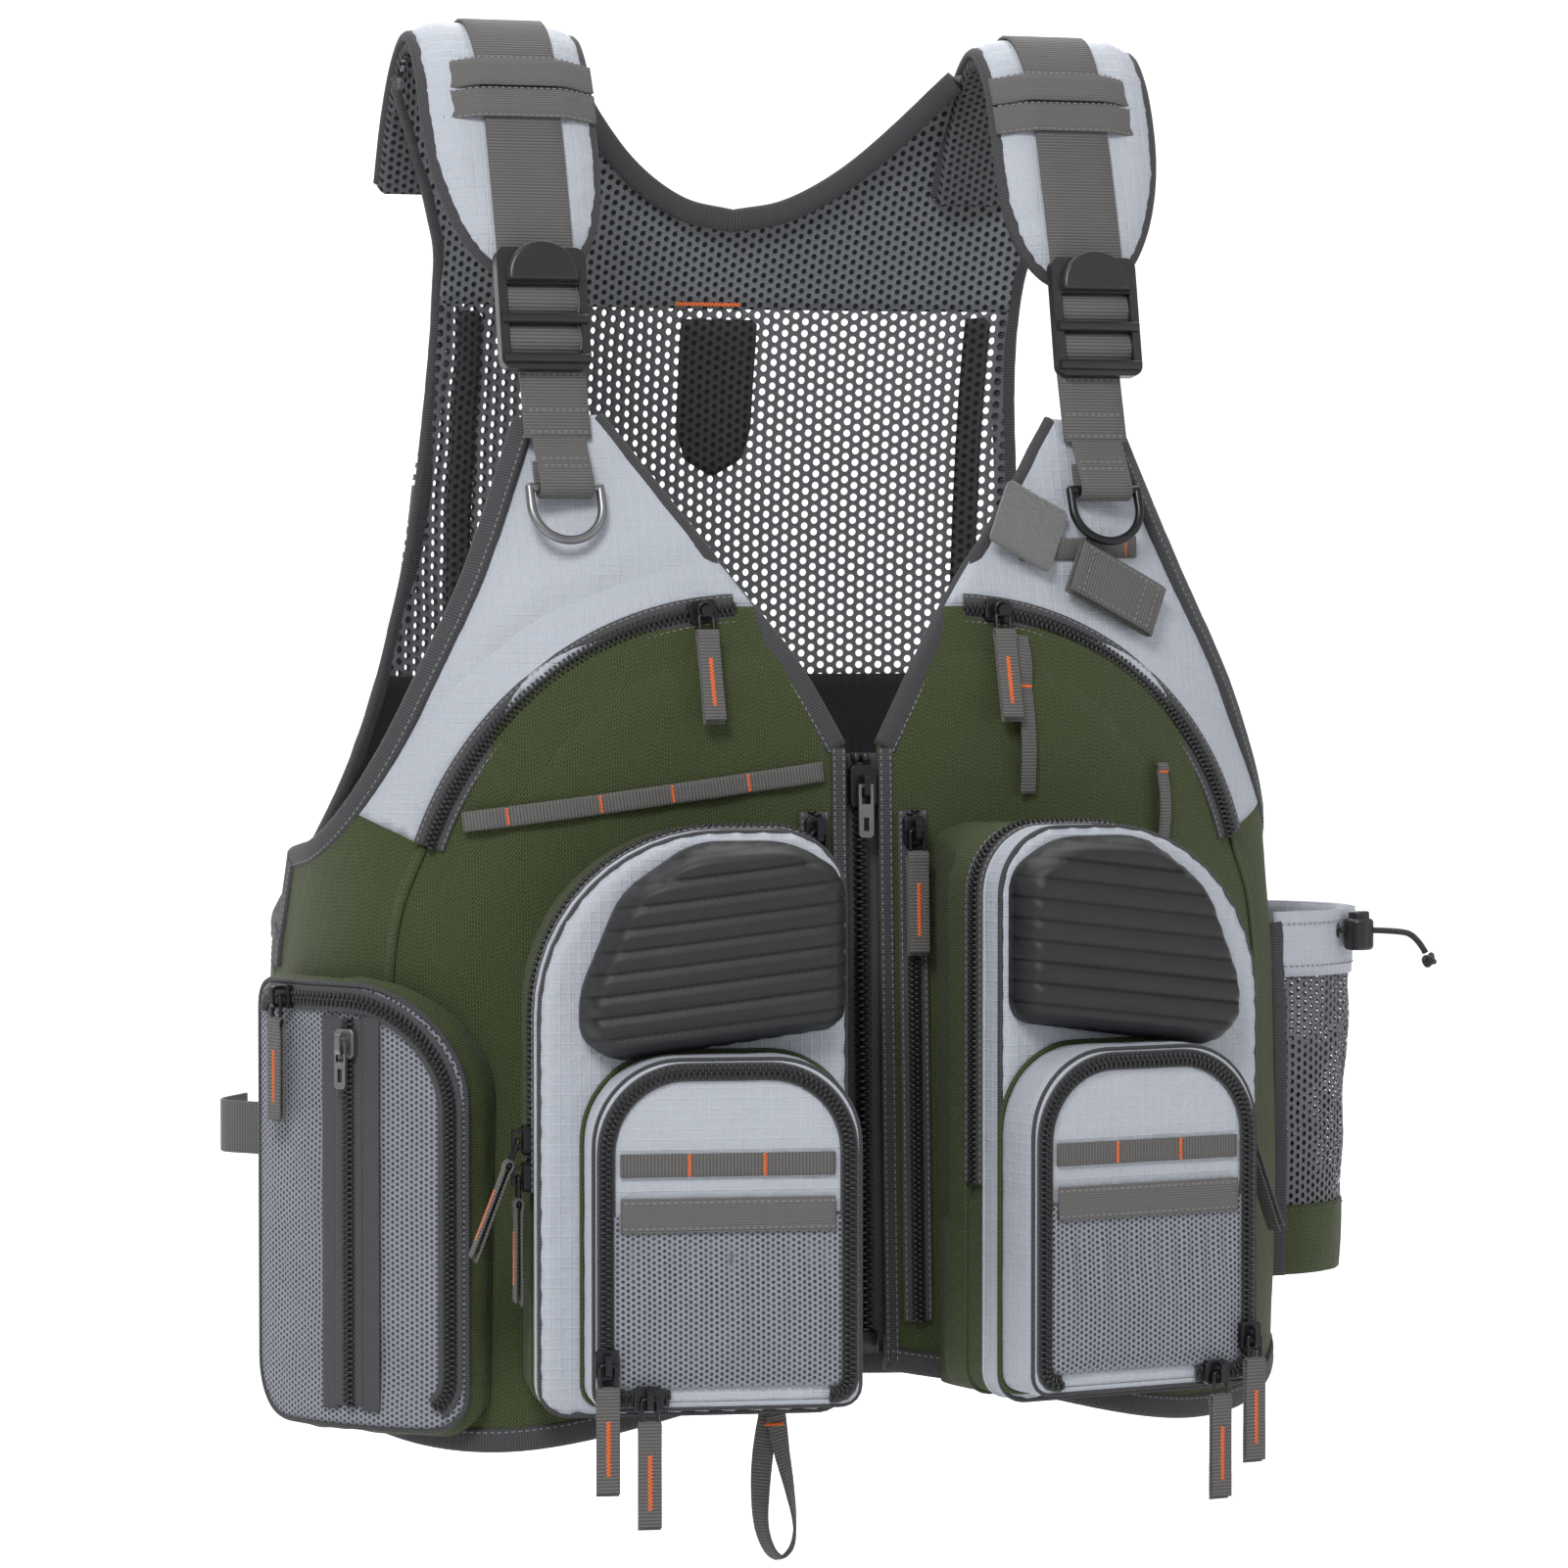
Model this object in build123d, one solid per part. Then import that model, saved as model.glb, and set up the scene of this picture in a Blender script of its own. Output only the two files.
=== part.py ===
from build123d import *
import math
import os

# Fishing vest, millimetres. +X is the wearer's left, -Y the front, +Z up.
# The origin is midway between the tops of the shoulders, where the wearer carries it.

# The wearer's body: height, half width, depth in front and depth behind
BODY_ROWS = (
    (0, 176, 6, 10),
    (-25, 182, 22, 34),
    (-70, 186, 42, 60),
    (-120, 190, 58, 80),
    (-200, 204, 82, 94),
    (-280, 222, 106, 100),
    (-320, 228, 112, 100),
    (-360, 232, 113.5, 100),
    (-450, 237, 116.9, 98),
    (-540, 237, 120.3, 96),
    (-640, 235, 124, 94),
    (-680, 235, 125.5, 93),
)
FULLNESS = 2.8          # 2 is an ellipse; more is squarer
SECTION_POINTS = 24
SECTION_STEP = 40

CLOTH = 2.5             # panel thickness
BINDING_WIDTH = 9.5
BINDING = 0.85          # thickness of the binding on each face
BINDING_GAP = 0.4       # between the binding and the cloth under it
PATCH_LEVEL = 3.8       # height over the body at which sewn-on pieces start

HEM = -628
FRONT_EDGE = 8          # half of the gap that the main zip closes
SIDE_SEAM_Y = 10
YOKE_SEAM = -115
LINING_TOP = -290

# Shoulders
STRAP_X = 134
PAD_INNER, PAD_OUTER = 99, 178
PAD_THICKNESS = 9
PAD_LINE = ((50, -64), (37, -33), (20, -9), (2, 1), (-14, -13), (-25, -39), (-37, -77), (-46, -108))
STRAP_WIDTH = 36
KEEPER_LINE = ((-22, -30), (-25.3, -40), (-29.3, -52))
KEEPER_WIDTH = 70
ANCHOR_X = 130          # the lower webbing's middle
ANCHOR_WIDTH = 31
TAB_WIDTH = 25
WEBBING = 1.8

# Zips and their sliders
COIL_HALF = 3.2
COIL_HEIGHT = 2.6
TAPE_HALF = 7
TAPE = 0.8
SLIDER_LENGTH = 13
SLIDER_HALF = 5.2
PIVOT_HEIGHT = 6.4      # of a pull's bar above the zip's tape
PULL_LENGTH = 57
END_SLIDER_GAP = 16
LEAD_TILT = 21          # a lead pull lies over the end slider below it

MAIN_TOP, MAIN_BOTTOM = -326, -584
MAIN_SLIDER_Z = -337
MAIN_PIVOT = 7.4
PLACKET_X = 23.5
PLACKET_TOP, PLACKET_BOTTOM = -348, -578
PLACKET_SLIDER_Z = -357

# Chest zips: a circle lying on the chest, leaning outwards as the chest does
CHEST_CENTRE = (50, -131.7 + 0.136 * 406 - CLOTH, -406)
CHEST_TILT = math.atan(0.136)
CHEST_RADIUS = 150
CHEST_LEAN = 18
CHEST_ARC = (17, 88)
CHEST_SLIDER_ANGLE = 82
CHEST_PIVOT = 7.8       # height of the pull's eye above the tape
CHEST_PULL_TILT = 15

# Cargo pockets: each stands on the chest at its middle and faces a little outwards
CARGO_MIDDLE = 84
CARGO_LIMITS = (-60, 75)        # inner and outer side, from the middle
CARGO_TOP, CARGO_BOTTOM = -353, -606
CARGO_DEPTH = 68
CARGO_TURN = 10         # degrees
CARGO_ZIP_W = 43
PLACKET_ROOM = (34, -147)       # the gusset stands back from the placket zip up to here
CARGO_OUTER_RADIUS, CARGO_INNER_RADIUS = 80, 30
CARGO_SLIDER_Z = -488

SMALL_LIMITS = (-62, 56)
SMALL_TOP, SMALL_BOTTOM = -449, -601
SMALL_DEPTH = 27
SMALL_TOP_RADIUS, SMALL_BOTTOM_RADIUS = 38, 9
SMALL_ZIP_INSET = 6
SMALL_SLIDER_Z = -580

EVA_TOP, EVA_BOTTOM = -357, -438
EVA_HALF = 58
EVA_DROP = 14           # the lower edge falls by this towards the outer side
EVA_DEPTH = 20
RIB_PITCH = 10

# Side pocket on the wearer's right: a cylinder round the corner of the body
SIDE_AXIS = (-133, -6)
SIDE_RADIUS = 121
SIDE_FACING = 215       # degrees from +X that the pocket faces
SIDE_HALF = 60
SIDE_TOP, SIDE_BOTTOM = -423, -620
SIDE_SLIDER_TURN = 16   # degrees from the middle, towards the back
INNER_ZIP_TOP, INNER_ZIP_BOTTOM = -438, -612
INNER_SLIDER_Z = -449

# Bottle pocket on the wearer's left
BOTTLE_CENTRE = (236, 2)
BOTTLE_SIZE = (55, 53)
BOTTLE_TOP, BOTTLE_BOTTOM = -401, -574
BOTTLE_WALL = 2.5
BOTTLE_TAPER = 0.88

# Drawcord tail, from its eyelet in the bottle pocket's casing to its knot
CORD = 3
CORD_POINTS = (
    (270, -39.5, -411),
    (298, -48.6, -411),
    (306, -51, -414.5),
    (310, -52.2, -422),
)
LOCK_START = 3          # from the eyelet to the cord lock, along the cord
LOCK_RADIUS = 7
WELL_FLOOR = -8
BUTTON_TRAVEL = 2

RING_WIRE = 4
RING_HALF, RING_DROP = 18.5, 29
RING_Z = -203


def smooth_row(z):
    """Half width, front depth and back depth of the body at a height."""
    rows = BODY_ROWS
    i = max(k for k in range(len(rows) - 1) if rows[k][0] >= z or k == 0)
    low, high = rows[max(i - 1, 0)], rows[min(i + 2, len(rows) - 1)]
    a, b = rows[i], rows[i + 1]
    span = b[0] - a[0]
    t = (z - a[0]) / span
    out = []
    for k in (1, 2, 3):
        slope_a = (b[k] - low[k]) / (b[0] - low[0]) * span
        slope_b = (high[k] - a[k]) / (high[0] - a[0]) * span
        rise = b[k] - a[k]
        out.append(a[k] + t * slope_a + t * t * (3 * rise - 2 * slope_a - slope_b)
                   + t ** 3 * (slope_a + slope_b - 2 * rise))
    return out


def front_y(x, z, out=0.0):
    """Depth of the body's front at a place, seen from the front."""
    half, front, _ = smooth_row(z)
    return -(front + out) * max(0.0, 1 - (abs(x) / (half + out)) ** FULLNESS) ** (1 / FULLNESS)


def back_y(x, z, out=0.0):
    half, _, back = smooth_row(z)
    return (back + out) * max(0.0, 1 - (abs(x) / (half + out)) ** FULLNESS) ** (1 / FULLNESS)


def body_section(z, out):
    half, front, back = smooth_row(z)
    points = []
    for i in range(SECTION_POINTS):
        angle = 2 * math.pi * i / SECTION_POINTS
        c, s = math.cos(angle), math.sin(angle)
        depth = (back if s > 0 else front) + out
        x = (half + out) * math.copysign(abs(c) ** (2 / FULLNESS), c)
        y = depth * math.copysign(abs(s) ** (2 / FULLNESS), s)
        points.append((x, y, z))
    return Wire(Spline(*points, periodic=True))


BODIES = {}


def body(out):
    """The wearer's body, grown outwards by a distance, as one solid."""
    if out not in BODIES:
        heights = [0.0] + [-SECTION_STEP * k for k in range(1, 18)]
        faces = [Face(body_section(z, out)) for z in heights]
        BODIES[out] = loft(faces)
    return BODIES[out]


def prism(outline, y_near, y_far):
    """An outline drawn in X and Z, as a block between two depths."""
    face = Plane(origin=(0, y_near, 0), x_dir=(1, 0, 0), z_dir=(0, -1, 0)) * outline
    return extrude(face, amount=y_near - y_far)


def front_cloth(outline, low=0.0, high=CLOTH):
    """Cloth on the body's front, inside an outline, between two distances off the body."""
    return (prism(outline, SIDE_SEAM_Y, -220) & body(high)) - body(low)


def back_cloth(outline, low=0.0, high=CLOTH):
    return (prism(outline, 200, SIDE_SEAM_Y + 0.3) & body(high)) - body(low)


def other_side(shape):
    return mirror(shape, about=Plane.YZ)


def both_sides(shape):
    return [shape, other_side(shape)]


def solids_of(*shapes):
    found = []
    for shape in shapes:
        found += shape.solids()
    return Compound(children=found)


def block(x, y, z):
    """A box between pairs of limits."""
    return Pos((x[0] + x[1]) / 2, (y[0] + y[1]) / 2, (z[0] + z[1]) / 2) * Box(
        x[1] - x[0], y[1] - y[0], z[1] - z[0])


# ---------------------------------------------------------------- outlines

V_EDGE = ((FRONT_EDGE, -318), (28, -282), (50, -250), (76, -215), (108, -170))
FRONT_ARMHOLE = ((145, -172), (170, -237), (193, -285), (208, -318), (224, -350), (262, -420))
FRONT_HEM = ((262, HEM + 60), (236, HEM + 22), (200, HEM + 2), (150, HEM), (60, HEM + 20), (FRONT_EDGE, HEM + 30))
BACK_NECK = ((0, -70), (25, -65), (51, -50), (75, -27), (92, -6))
BACK_ARMHOLE = ((178, -20), (158, -63), (145, -104), (150, -200), (163, -273), (186, -336), (216, -385))
BACK_HEM = ((262, HEM + 60), (236, HEM + 20), (190, HEM), (0, HEM))


def front_outline():
    """One front half, on the wearer's left, with its V edge, armhole, side and hem."""
    top = Line(V_EDGE[-1], FRONT_ARMHOLE[0])
    side = Line(FRONT_ARMHOLE[-1], FRONT_HEM[0])
    front = Line(FRONT_HEM[-1], V_EDGE[0])
    return make_face([Spline(*V_EDGE), top, Spline(*FRONT_ARMHOLE), side, Spline(*FRONT_HEM), front])


def olive_region():
    """Everything under the chest zip's arc and under the yoke's lower corner."""
    disc = Pos(CHEST_CENTRE[0], CHEST_CENTRE[2]) * Circle(CHEST_RADIUS)
    lower = make_face(Polyline((0, -400), (193, -362), (236, -338), (280, -338), (280, -700), (0, -700),
                               close=True))
    return disc + lower


def back_outline():
    neck, armhole, hem = Spline(*BACK_NECK), Spline(*BACK_ARMHOLE), Spline(*BACK_HEM)
    top = Line(neck @ 1, (178, -6))
    shoulder = Line((178, -6), armhole @ 0)
    underarm = Line(armhole @ 1, (262, -420))
    side = Line((262, -420), hem @ 0)
    middle = Line(hem @ 1, neck @ 0)
    half = make_face([neck, top, shoulder, armhole, underarm, side, hem, middle])
    return half + mirror(half, about=Plane.YZ)


def band_between(z_low, z_high):
    return Pos(0, (z_low + z_high) / 2) * Rectangle(700, z_high - z_low)


# ---------------------------------------------------------------- cloth shell

def chest_groove():
    """The slot that the chest zip lies in."""
    return chest_ring((-TAPE_HALF - 0.2, TAPE_HALF + 0.2), (-8, 9), (CHEST_ARC[0] - 1, CHEST_ARC[1] + 1))


def make_front(nodes):
    outline = front_outline()
    groove = chest_groove()
    olive = front_cloth(outline & olive_region()) - groove
    yoke = front_cloth(outline - olive_region()) - groove
    nodes["front_panel_left"] = olive
    nodes["front_panel_right"] = other_side(olive)
    nodes["chest_yokes"] = solids_of(*both_sides(yoke))


def make_back(nodes):
    outline = back_outline()
    yoke = outline & band_between(YOKE_SEAM, 0)
    net = outline & band_between(LINING_TOP, YOKE_SEAM)
    lining = outline & band_between(-700, LINING_TOP)
    nodes["back_yoke"] = back_cloth(yoke)
    nodes["back_net"] = back_cloth(net)
    nodes["back_lining"] = back_cloth(lining)
    patch = fillet((Pos(0, -158) * Rectangle(38, 76)).vertices().group_by(Axis.Y)[0], 18)
    strips = [Pos(side * 128, -200) * Rectangle(12, 168) for side in (-1, 1)]
    layers = [back_cloth(piece, -1.2, -0.2) for piece in [patch] + strips]
    nodes["back_reinforcements"] = solids_of(*layers)


def edge_band(points):
    """The band of binding along an edge, drawn in X and Z. The cloth is on the right of its direction."""
    near, far = offset_line(points, -BINDING), offset_line(points, BINDING_WIDTH)
    return make_face([Spline(*near), Line(near[-1], far[-1]), Spline(*far), Line(far[0], near[0])])


def make_bindings(nodes):
    """Binding on the outer face along every free edge."""
    low, high = CLOTH + BINDING_GAP, CLOTH + BINDING_GAP + BINDING
    front = edge_band(V_EDGE) + edge_band(FRONT_ARMHOLE) + edge_band(FRONT_HEM)
    front = front_cloth(front, low, high) - block((95, 160), (-120, 20), (-176, 0)) - chest_groove()
    back = edge_band(BACK_NECK) + edge_band(BACK_ARMHOLE) + edge_band(BACK_HEM)
    back = back_cloth(back, low, high) - block((-200, 200), (-20, 80), (-50, 20)) - nodes["back_yoke"]
    room = side_frame().location * extrude(Pos(0, 0, -70) * side_outline(-0.6), amount=90)
    right = [other_side(front) - room, other_side(back) - room]
    nodes["edge_binding"] = solids_of(front, back, *right)


# ---------------------------------------------------------------- shoulders

def offset_line(points, distance):
    """Points of a curve in Y and Z, moved off it to the outside."""
    curve = Spline(*points)
    moved = []
    for i in range(len(points) + 3):
        t = i / (len(points) + 2)
        place, along = curve @ t, curve % t
        moved.append((place.X + along.Y * distance, place.Y - along.X * distance))
    return moved


def strap_solid(points, low, high, width, x):
    """A band along a curve in Y and Z, between two distances off it."""
    near, far = offset_line(points, low), offset_line(points, high)
    face = make_face([Spline(*near), Line(near[-1], far[-1]), Spline(*far), Line(far[0], near[0])])
    placed = Plane(origin=(x - width / 2, 0, 0), x_dir=(0, 1, 0), z_dir=(1, 0, 0)) * face
    return extrude(placed, amount=width)


def pad_outline():
    """A pad seen from the front: wide over the shoulder, rounded at its lower end."""
    middle, low = STRAP_X, PAD_LINE[-1][1] - 4
    inner = Spline((PAD_INNER, 40), (PAD_INNER, -40), (middle - 26, -86), (middle, low))
    outer = Spline((middle, low), (middle + 28, -84), (PAD_OUTER, -36), (PAD_OUTER, 40))
    return make_face([inner, outer, Line((PAD_OUTER, 40), (PAD_INNER, 40))])


def make_shoulders(nodes):
    middle = (PAD_INNER + PAD_OUTER) / 2
    pad = strap_solid(PAD_LINE, 0.5, PAD_THICKNESS + 0.5, PAD_OUTER - PAD_INNER, middle)
    front_half = pad & prism(pad_outline(), 0, -100)
    back_half = pad & block((0, 300), (0, 100), (-100, 50))
    pad = front_half + back_half
    pad -= prism(back_outline(), 200, 0) & body(2 * CLOTH)
    webbing = strap_solid(PAD_LINE, PAD_THICKNESS + 0.8, PAD_THICKNESS + 2.6, STRAP_WIDTH, STRAP_X)
    keeper = strap_solid(KEEPER_LINE, PAD_THICKNESS + 2.9, PAD_THICKNESS + 4.2, KEEPER_WIDTH, STRAP_X + 4)
    nodes["shoulder_pads"] = solids_of(*both_sides(pad))
    nodes["shoulder_webbings"] = solids_of(*both_sides(webbing))
    anchors = anchor_webbing() - buckle_frame().location * block((-24, 24), (-30, 31), (-1.8, 12))
    nodes["anchor_webbings"] = solids_of(*both_sides(anchors))
    return keeper


BUCKLE_TOP, BUCKLE_BOTTOM = -97, -150


def buckle_frame():
    """The place of the left ladder lock: X across, Y up the strap, Z outwards."""
    top = (PAD_LINE[-1][0] - PAD_THICKNESS - 1, BUCKLE_TOP)
    low = (front_y(STRAP_X, BUCKLE_BOTTOM) - 9, BUCKLE_BOTTOM)
    slope = math.atan2(top[0] - low[0], top[1] - low[1])
    middle = (STRAP_X, (top[0] + low[0]) / 2, (top[1] + low[1]) / 2)
    return Plane(origin=middle, x_dir=(1, 0, 0), z_dir=(0, -math.cos(slope), math.sin(slope)))


BUCKLE_HALF_WIDTH, BUCKLE_HALF_LENGTH = 21, 28
BUCKLE_HINGE = (0, -25, 3)


def ladder_lock():
    """A moulded frame with three bars and a domed lifting tongue."""
    half, length = BUCKLE_HALF_WIDTH, BUCKLE_HALF_LENGTH
    frame = block((-half, half), (-length, length), (0, 6))
    frame = fillet(frame.edges().filter_by(Axis.Z), 5)
    slots = [(-20.5, -7), (-2.5, 11)]
    for low, high in slots:
        frame -= block((-half + 4, half - 4), (low, high), (-1, 7))
    dome = Pos(0, 14, 3) * Cylinder(17, 7, align=(Align.CENTER, Align.CENTER, Align.MIN))
    dome &= block((-half, half), (12, 33), (0, 12))
    frame += fillet(dome.edges().group_by(Axis.Z)[-1], 2.5)
    bars = [Pos(0, y, 6) * Rot(0, 90, 0) * Cylinder(2.4, 2 * half - 2) for y in (-23, -4.8)]
    return frame + bars[0] + bars[1]


def anchor_webbing():
    """Lower webbing, from under the ladder lock to the chest, with the tab that holds the ring."""
    z_top, z_sewn, z_tab = BUCKLE_BOTTOM + 4, -180, RING_Z + 3
    inner = ANCHOR_X - ANCHOR_WIDTH / 2
    line = [(front_y(inner, z) - PATCH_LEVEL, z) for z in (z_top, -166, z_sewn)]
    upper = strap_solid(line, 0, WEBBING, ANCHOR_WIDTH, ANCHOR_X)
    inner = ANCHOR_X - TAB_WIDTH / 2
    line = [(front_y(inner, z) - PATCH_LEVEL, z) for z in (z_sewn - 0.3, -190, z_tab)]
    tab = strap_solid(line, 0, WEBBING, TAB_WIDTH, ANCHOR_X)
    loop = ring_frame().location * Rot(0, 90, 0) * (Cylinder(4.4, TAB_WIDTH) - Cylinder(2.5, TAB_WIDTH))
    return upper + tab + loop


def ring_frame():
    """The left D-ring's straight bar: X along it, Y up the cloth that the ring lies on, Z outwards."""
    inner = ANCHOR_X - TAB_WIDTH / 2
    low, high = front_y(inner, RING_Z - RING_DROP), front_y(inner, RING_Z)
    tilt = math.atan2(high - low, RING_DROP) + math.radians(3)
    return Plane(origin=(ANCHOR_X, high - PATCH_LEVEL - 5, RING_Z), x_dir=(1, 0, 0),
                 z_dir=(0, -math.cos(tilt), math.sin(tilt)))


def d_ring():
    """A D of round wire: straight bar on top, half round below."""
    half, drop, r = RING_HALF - RING_WIRE / 2, RING_DROP - RING_WIRE, RING_WIRE / 2
    straight = drop - half
    ring = Rot(0, 90, 0) * Cylinder(r, 2 * half)
    ring += (Pos(0, -straight, 0) * Torus(half, r)) & block((-30, 30), (-60, -straight), (-5, 5))
    for x in (-half, half):
        ring += Pos(x, 0, 0) * Sphere(r)
        ring += Pos(x, -straight / 2, 0) * Rot(90, 0, 0) * Cylinder(r, straight)
    return ring_frame().location * ring


# ---------------------------------------------------------------- zips

def zip_frame(x, z_top, z_bottom, out=PATCH_LEVEL):
    """The top of a straight zip down the front: X across, Y up the zip, Z outwards."""
    top, low = front_y(x, z_top, out), front_y(x, z_bottom, out)
    tilt = math.atan2(top - low, z_top - z_bottom)
    return Plane(origin=(x, top, z_top), x_dir=(1, 0, 0), z_dir=(0, -math.cos(tilt), math.sin(tilt)))


def straight_zip(length):
    """Tape and coil along Y, starting at the origin and going down."""
    tape = block((-TAPE_HALF, TAPE_HALF), (-length, 0), (0, TAPE))
    coil = block((-COIL_HALF, COIL_HALF), (-length, 0), (TAPE, COIL_HEIGHT))
    return tape + coil


def slider_body(half=SLIDER_HALF, length=SLIDER_LENGTH, coil=COIL_HALF, height=COIL_HEIGHT):
    """A saddle over the coil: waisted plate, two flanges and open ends."""
    top = height + 1.9
    saddle = block((-half, half), (-length / 2, length / 2), (TAPE + 0.5, top))
    saddle = chamfer(saddle.edges().filter_by(Axis.Z), 1.6)
    saddle -= block((-coil - 0.5, coil + 0.5), (-length, length), (0, height + 0.5))
    return fillet(saddle.edges().group_by(Axis.Z)[-1], 0.5)


def bridge(height=COIL_HEIGHT, pivot=PIVOT_HEIGHT):
    """The arch on a slider that a pull's bar turns under."""
    low, high = height + 1.7, pivot + 2.9
    arch = block((-1.4, 1.4), (-4.8, 4.8), (low, high))
    arch = fillet(arch.edges().filter_by(Axis.X).group_by(Axis.Z)[-1], 2.0)
    return arch - block((-2, 2), (-3.0, 3.0), (low + 0.2, pivot + 1.5))


def slider():
    return slider_body() + bridge()


def pull(length=PULL_LENGTH, width=10.0):
    """A metal link and a webbing tongue, hanging down -Y from a bar at the origin."""
    bar = Rot(0, 90, 0) * Cylinder(1.1, 8)
    link = block((-4, 4), (-14, 0), (-0.9, 0.9)) - block((-2.1, 2.1), (-8, 1), (-2, 2))
    tongue = block((-width / 2, width / 2), (-length, -11.5), (-1.6, 1.6))
    tongue = fillet(tongue.edges().filter_by(Axis.Z).group_by(Axis.Y)[0], 1.5)
    return bar + link + tongue


def metal_puller(length, width):
    """A cast puller with a window for the bridge and a hole near its end."""
    bar = Rot(0, 90, 0) * Cylinder(1.1, width)
    plate = block((-width / 2, width / 2), (-length, 0), (-0.9, 0.9)) - block((-2.1, 2.1), (-8, 1), (-2, 2))
    plate = fillet(plate.edges().filter_by(Axis.Z).group_by(Axis.Y)[0], 2)
    return bar + plate - block((-1.2, 1.2), (-length + 3, -length + 9), (-2, 2))


def pull_plane(frame, tilt=0, splay=0, pivot=PIVOT_HEIGHT):
    """A pull's own place on a slider's frame: tilted off the cloth and splayed sideways."""
    return Plane(frame.location * Pos(0, 0, pivot) * Rot(0, 0, splay) * Rot(-tilt, 0, 0))


# ---------------------------------------------------------------- chest zips

def chest_plane():
    """The left circle's plane: X outwards, Y up the chest, Z along the arc's axis."""
    return Plane(origin=CHEST_CENTRE, x_dir=(1, 0, 0),
                 z_dir=(0, -math.cos(CHEST_TILT), -math.sin(CHEST_TILT)))


def chest_ring(across, height, angles):
    """A band turned about the arc's axis, on the wearer's left. Its section leans outwards."""
    corners = [(across[0], height[0]), (across[1], height[0]), (across[1], height[1]), (across[0], height[1])]
    lean = math.radians(CHEST_LEAN)
    points = []
    for a, h in corners:
        radial = CHEST_RADIUS + a * math.cos(lean) + h * math.sin(lean)
        axial = -a * math.sin(lean) + h * math.cos(lean)
        points.append((radial, axial))
    section = Rot(0, 0, angles[0]) * (Plane.XZ * make_face(Polyline(*points, close=True)))
    ring = revolve(section, axis=Axis.Z, revolution_arc=angles[1] - angles[0])
    return chest_plane().location * ring


def chest_slider_frame():
    """X across the zip, Y along it, Z off the cloth."""
    angle, lean = math.radians(CHEST_SLIDER_ANGLE), math.radians(CHEST_LEAN)
    plane = chest_plane()
    radial = plane.x_dir * math.cos(angle) + plane.y_dir * math.sin(angle)
    outward = plane.z_dir * math.cos(lean) + radial * math.sin(lean)
    across = radial * math.cos(lean) - plane.z_dir * math.sin(lean)
    return Plane(origin=plane.origin + radial * CHEST_RADIUS, x_dir=across, z_dir=outward)


def chest_pivot():
    return chest_slider_frame().location * Pos(0, 0, CHEST_PIVOT)


def chest_swivel():
    """Where the pull's eye turns: its Z is the arc's axis."""
    return Plane(origin=chest_pivot().position, x_dir=(1, 0, 0), z_dir=chest_plane().z_dir)


def chest_slider():
    saddle = chest_slider_frame().location * slider_body()
    stud = Pos(0, 0, -3.2) * Cylinder(1.6, 5.2, align=(Align.CENTER, Align.CENTER, Align.MIN))
    cap = Pos(0, 0, 1.3) * Cylinder(2.4, 1.1, align=(Align.CENTER, Align.CENTER, Align.MIN))
    return saddle + chest_swivel().location * (stud + cap)


def chest_pull():
    """An eye round the slider's stud and a tongue that lies down the chest."""
    eye = chest_swivel().location * (Cylinder(4.1, 1.6) - Cylinder(2.0, 3))
    tilt = math.radians(CHEST_PULL_TILT)
    hanging = Plane(origin=chest_pivot().position, x_dir=(1, 0, 0),
                    z_dir=(0, -math.cos(tilt), math.sin(tilt)))
    link = block((-2.5, 2.5), (-13, -3.3), (-0.8, 0.8))
    tongue = block((-5, 5), (-PULL_LENGTH + 4, -11), (-1.6, 1.6))
    tongue = fillet(tongue.edges().filter_by(Axis.Z).group_by(Axis.Y)[0], 1.5)
    return eye + hanging.location * (link + tongue)


# ---------------------------------------------------------------- cargo pockets

def cargo_frame():
    """The place of the left cargo pocket: X outwards across, Y up, Z forwards."""
    turn = math.radians(CARGO_TURN)
    depth = front_y(CARGO_MIDDLE, -480, PATCH_LEVEL)
    return Plane(origin=(CARGO_MIDDLE, depth, 0), x_dir=(math.cos(turn), math.sin(turn), 0),
                 z_dir=(math.sin(turn), -math.cos(turn), 0))


def rounded(limits_x, limits_y, radii):
    """A rectangle with its own radius at each corner: low left, low right, top right, top left."""
    x, y = limits_x, limits_y
    corners = [(x[0], y[0]), (x[1], y[0]), (x[1], y[1]), (x[0], y[1])]
    shape = Pos((x[0] + x[1]) / 2, (y[0] + y[1]) / 2) * Rectangle(x[1] - x[0], y[1] - y[0])
    for corner, radius in zip(corners, radii):
        near = min(shape.vertices(), key=lambda v: abs(v.X - corner[0]) + abs(v.Y - corner[1]))
        shape = fillet(near, radius)
    return shape


def cargo_outline(grow=0.0):
    inner, outer = CARGO_LIMITS
    return rounded((inner - grow, outer + grow), (CARGO_BOTTOM, CARGO_TOP + grow),
                   (12, 12, CARGO_OUTER_RADIUS + grow, CARGO_INNER_RADIUS + grow))


def cargo_pocket():
    """A box that stands on the panel, with rounded front edges."""
    box = extrude(Pos(0, 0, -45) * cargo_outline(), amount=45 + CARGO_DEPTH)
    box = fillet(box.edges().group_by(Axis.Z)[-1], 5)
    x, y = PLACKET_ROOM
    room = block((-50, x), (y, 20), (-700, -300))
    return cargo_frame().location * box - room - body(PATCH_LEVEL)


def ribbon_round(low, high, near, far, v_low):
    """A band that follows the cargo outline round its gusset, above a height."""
    ring = cargo_outline(high) - cargo_outline(low)
    solid = extrude(Pos(0, 0, near) * ring, amount=far - near)
    return solid - block((-200, 200), (-900, v_low), (-100, 200))


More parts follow.
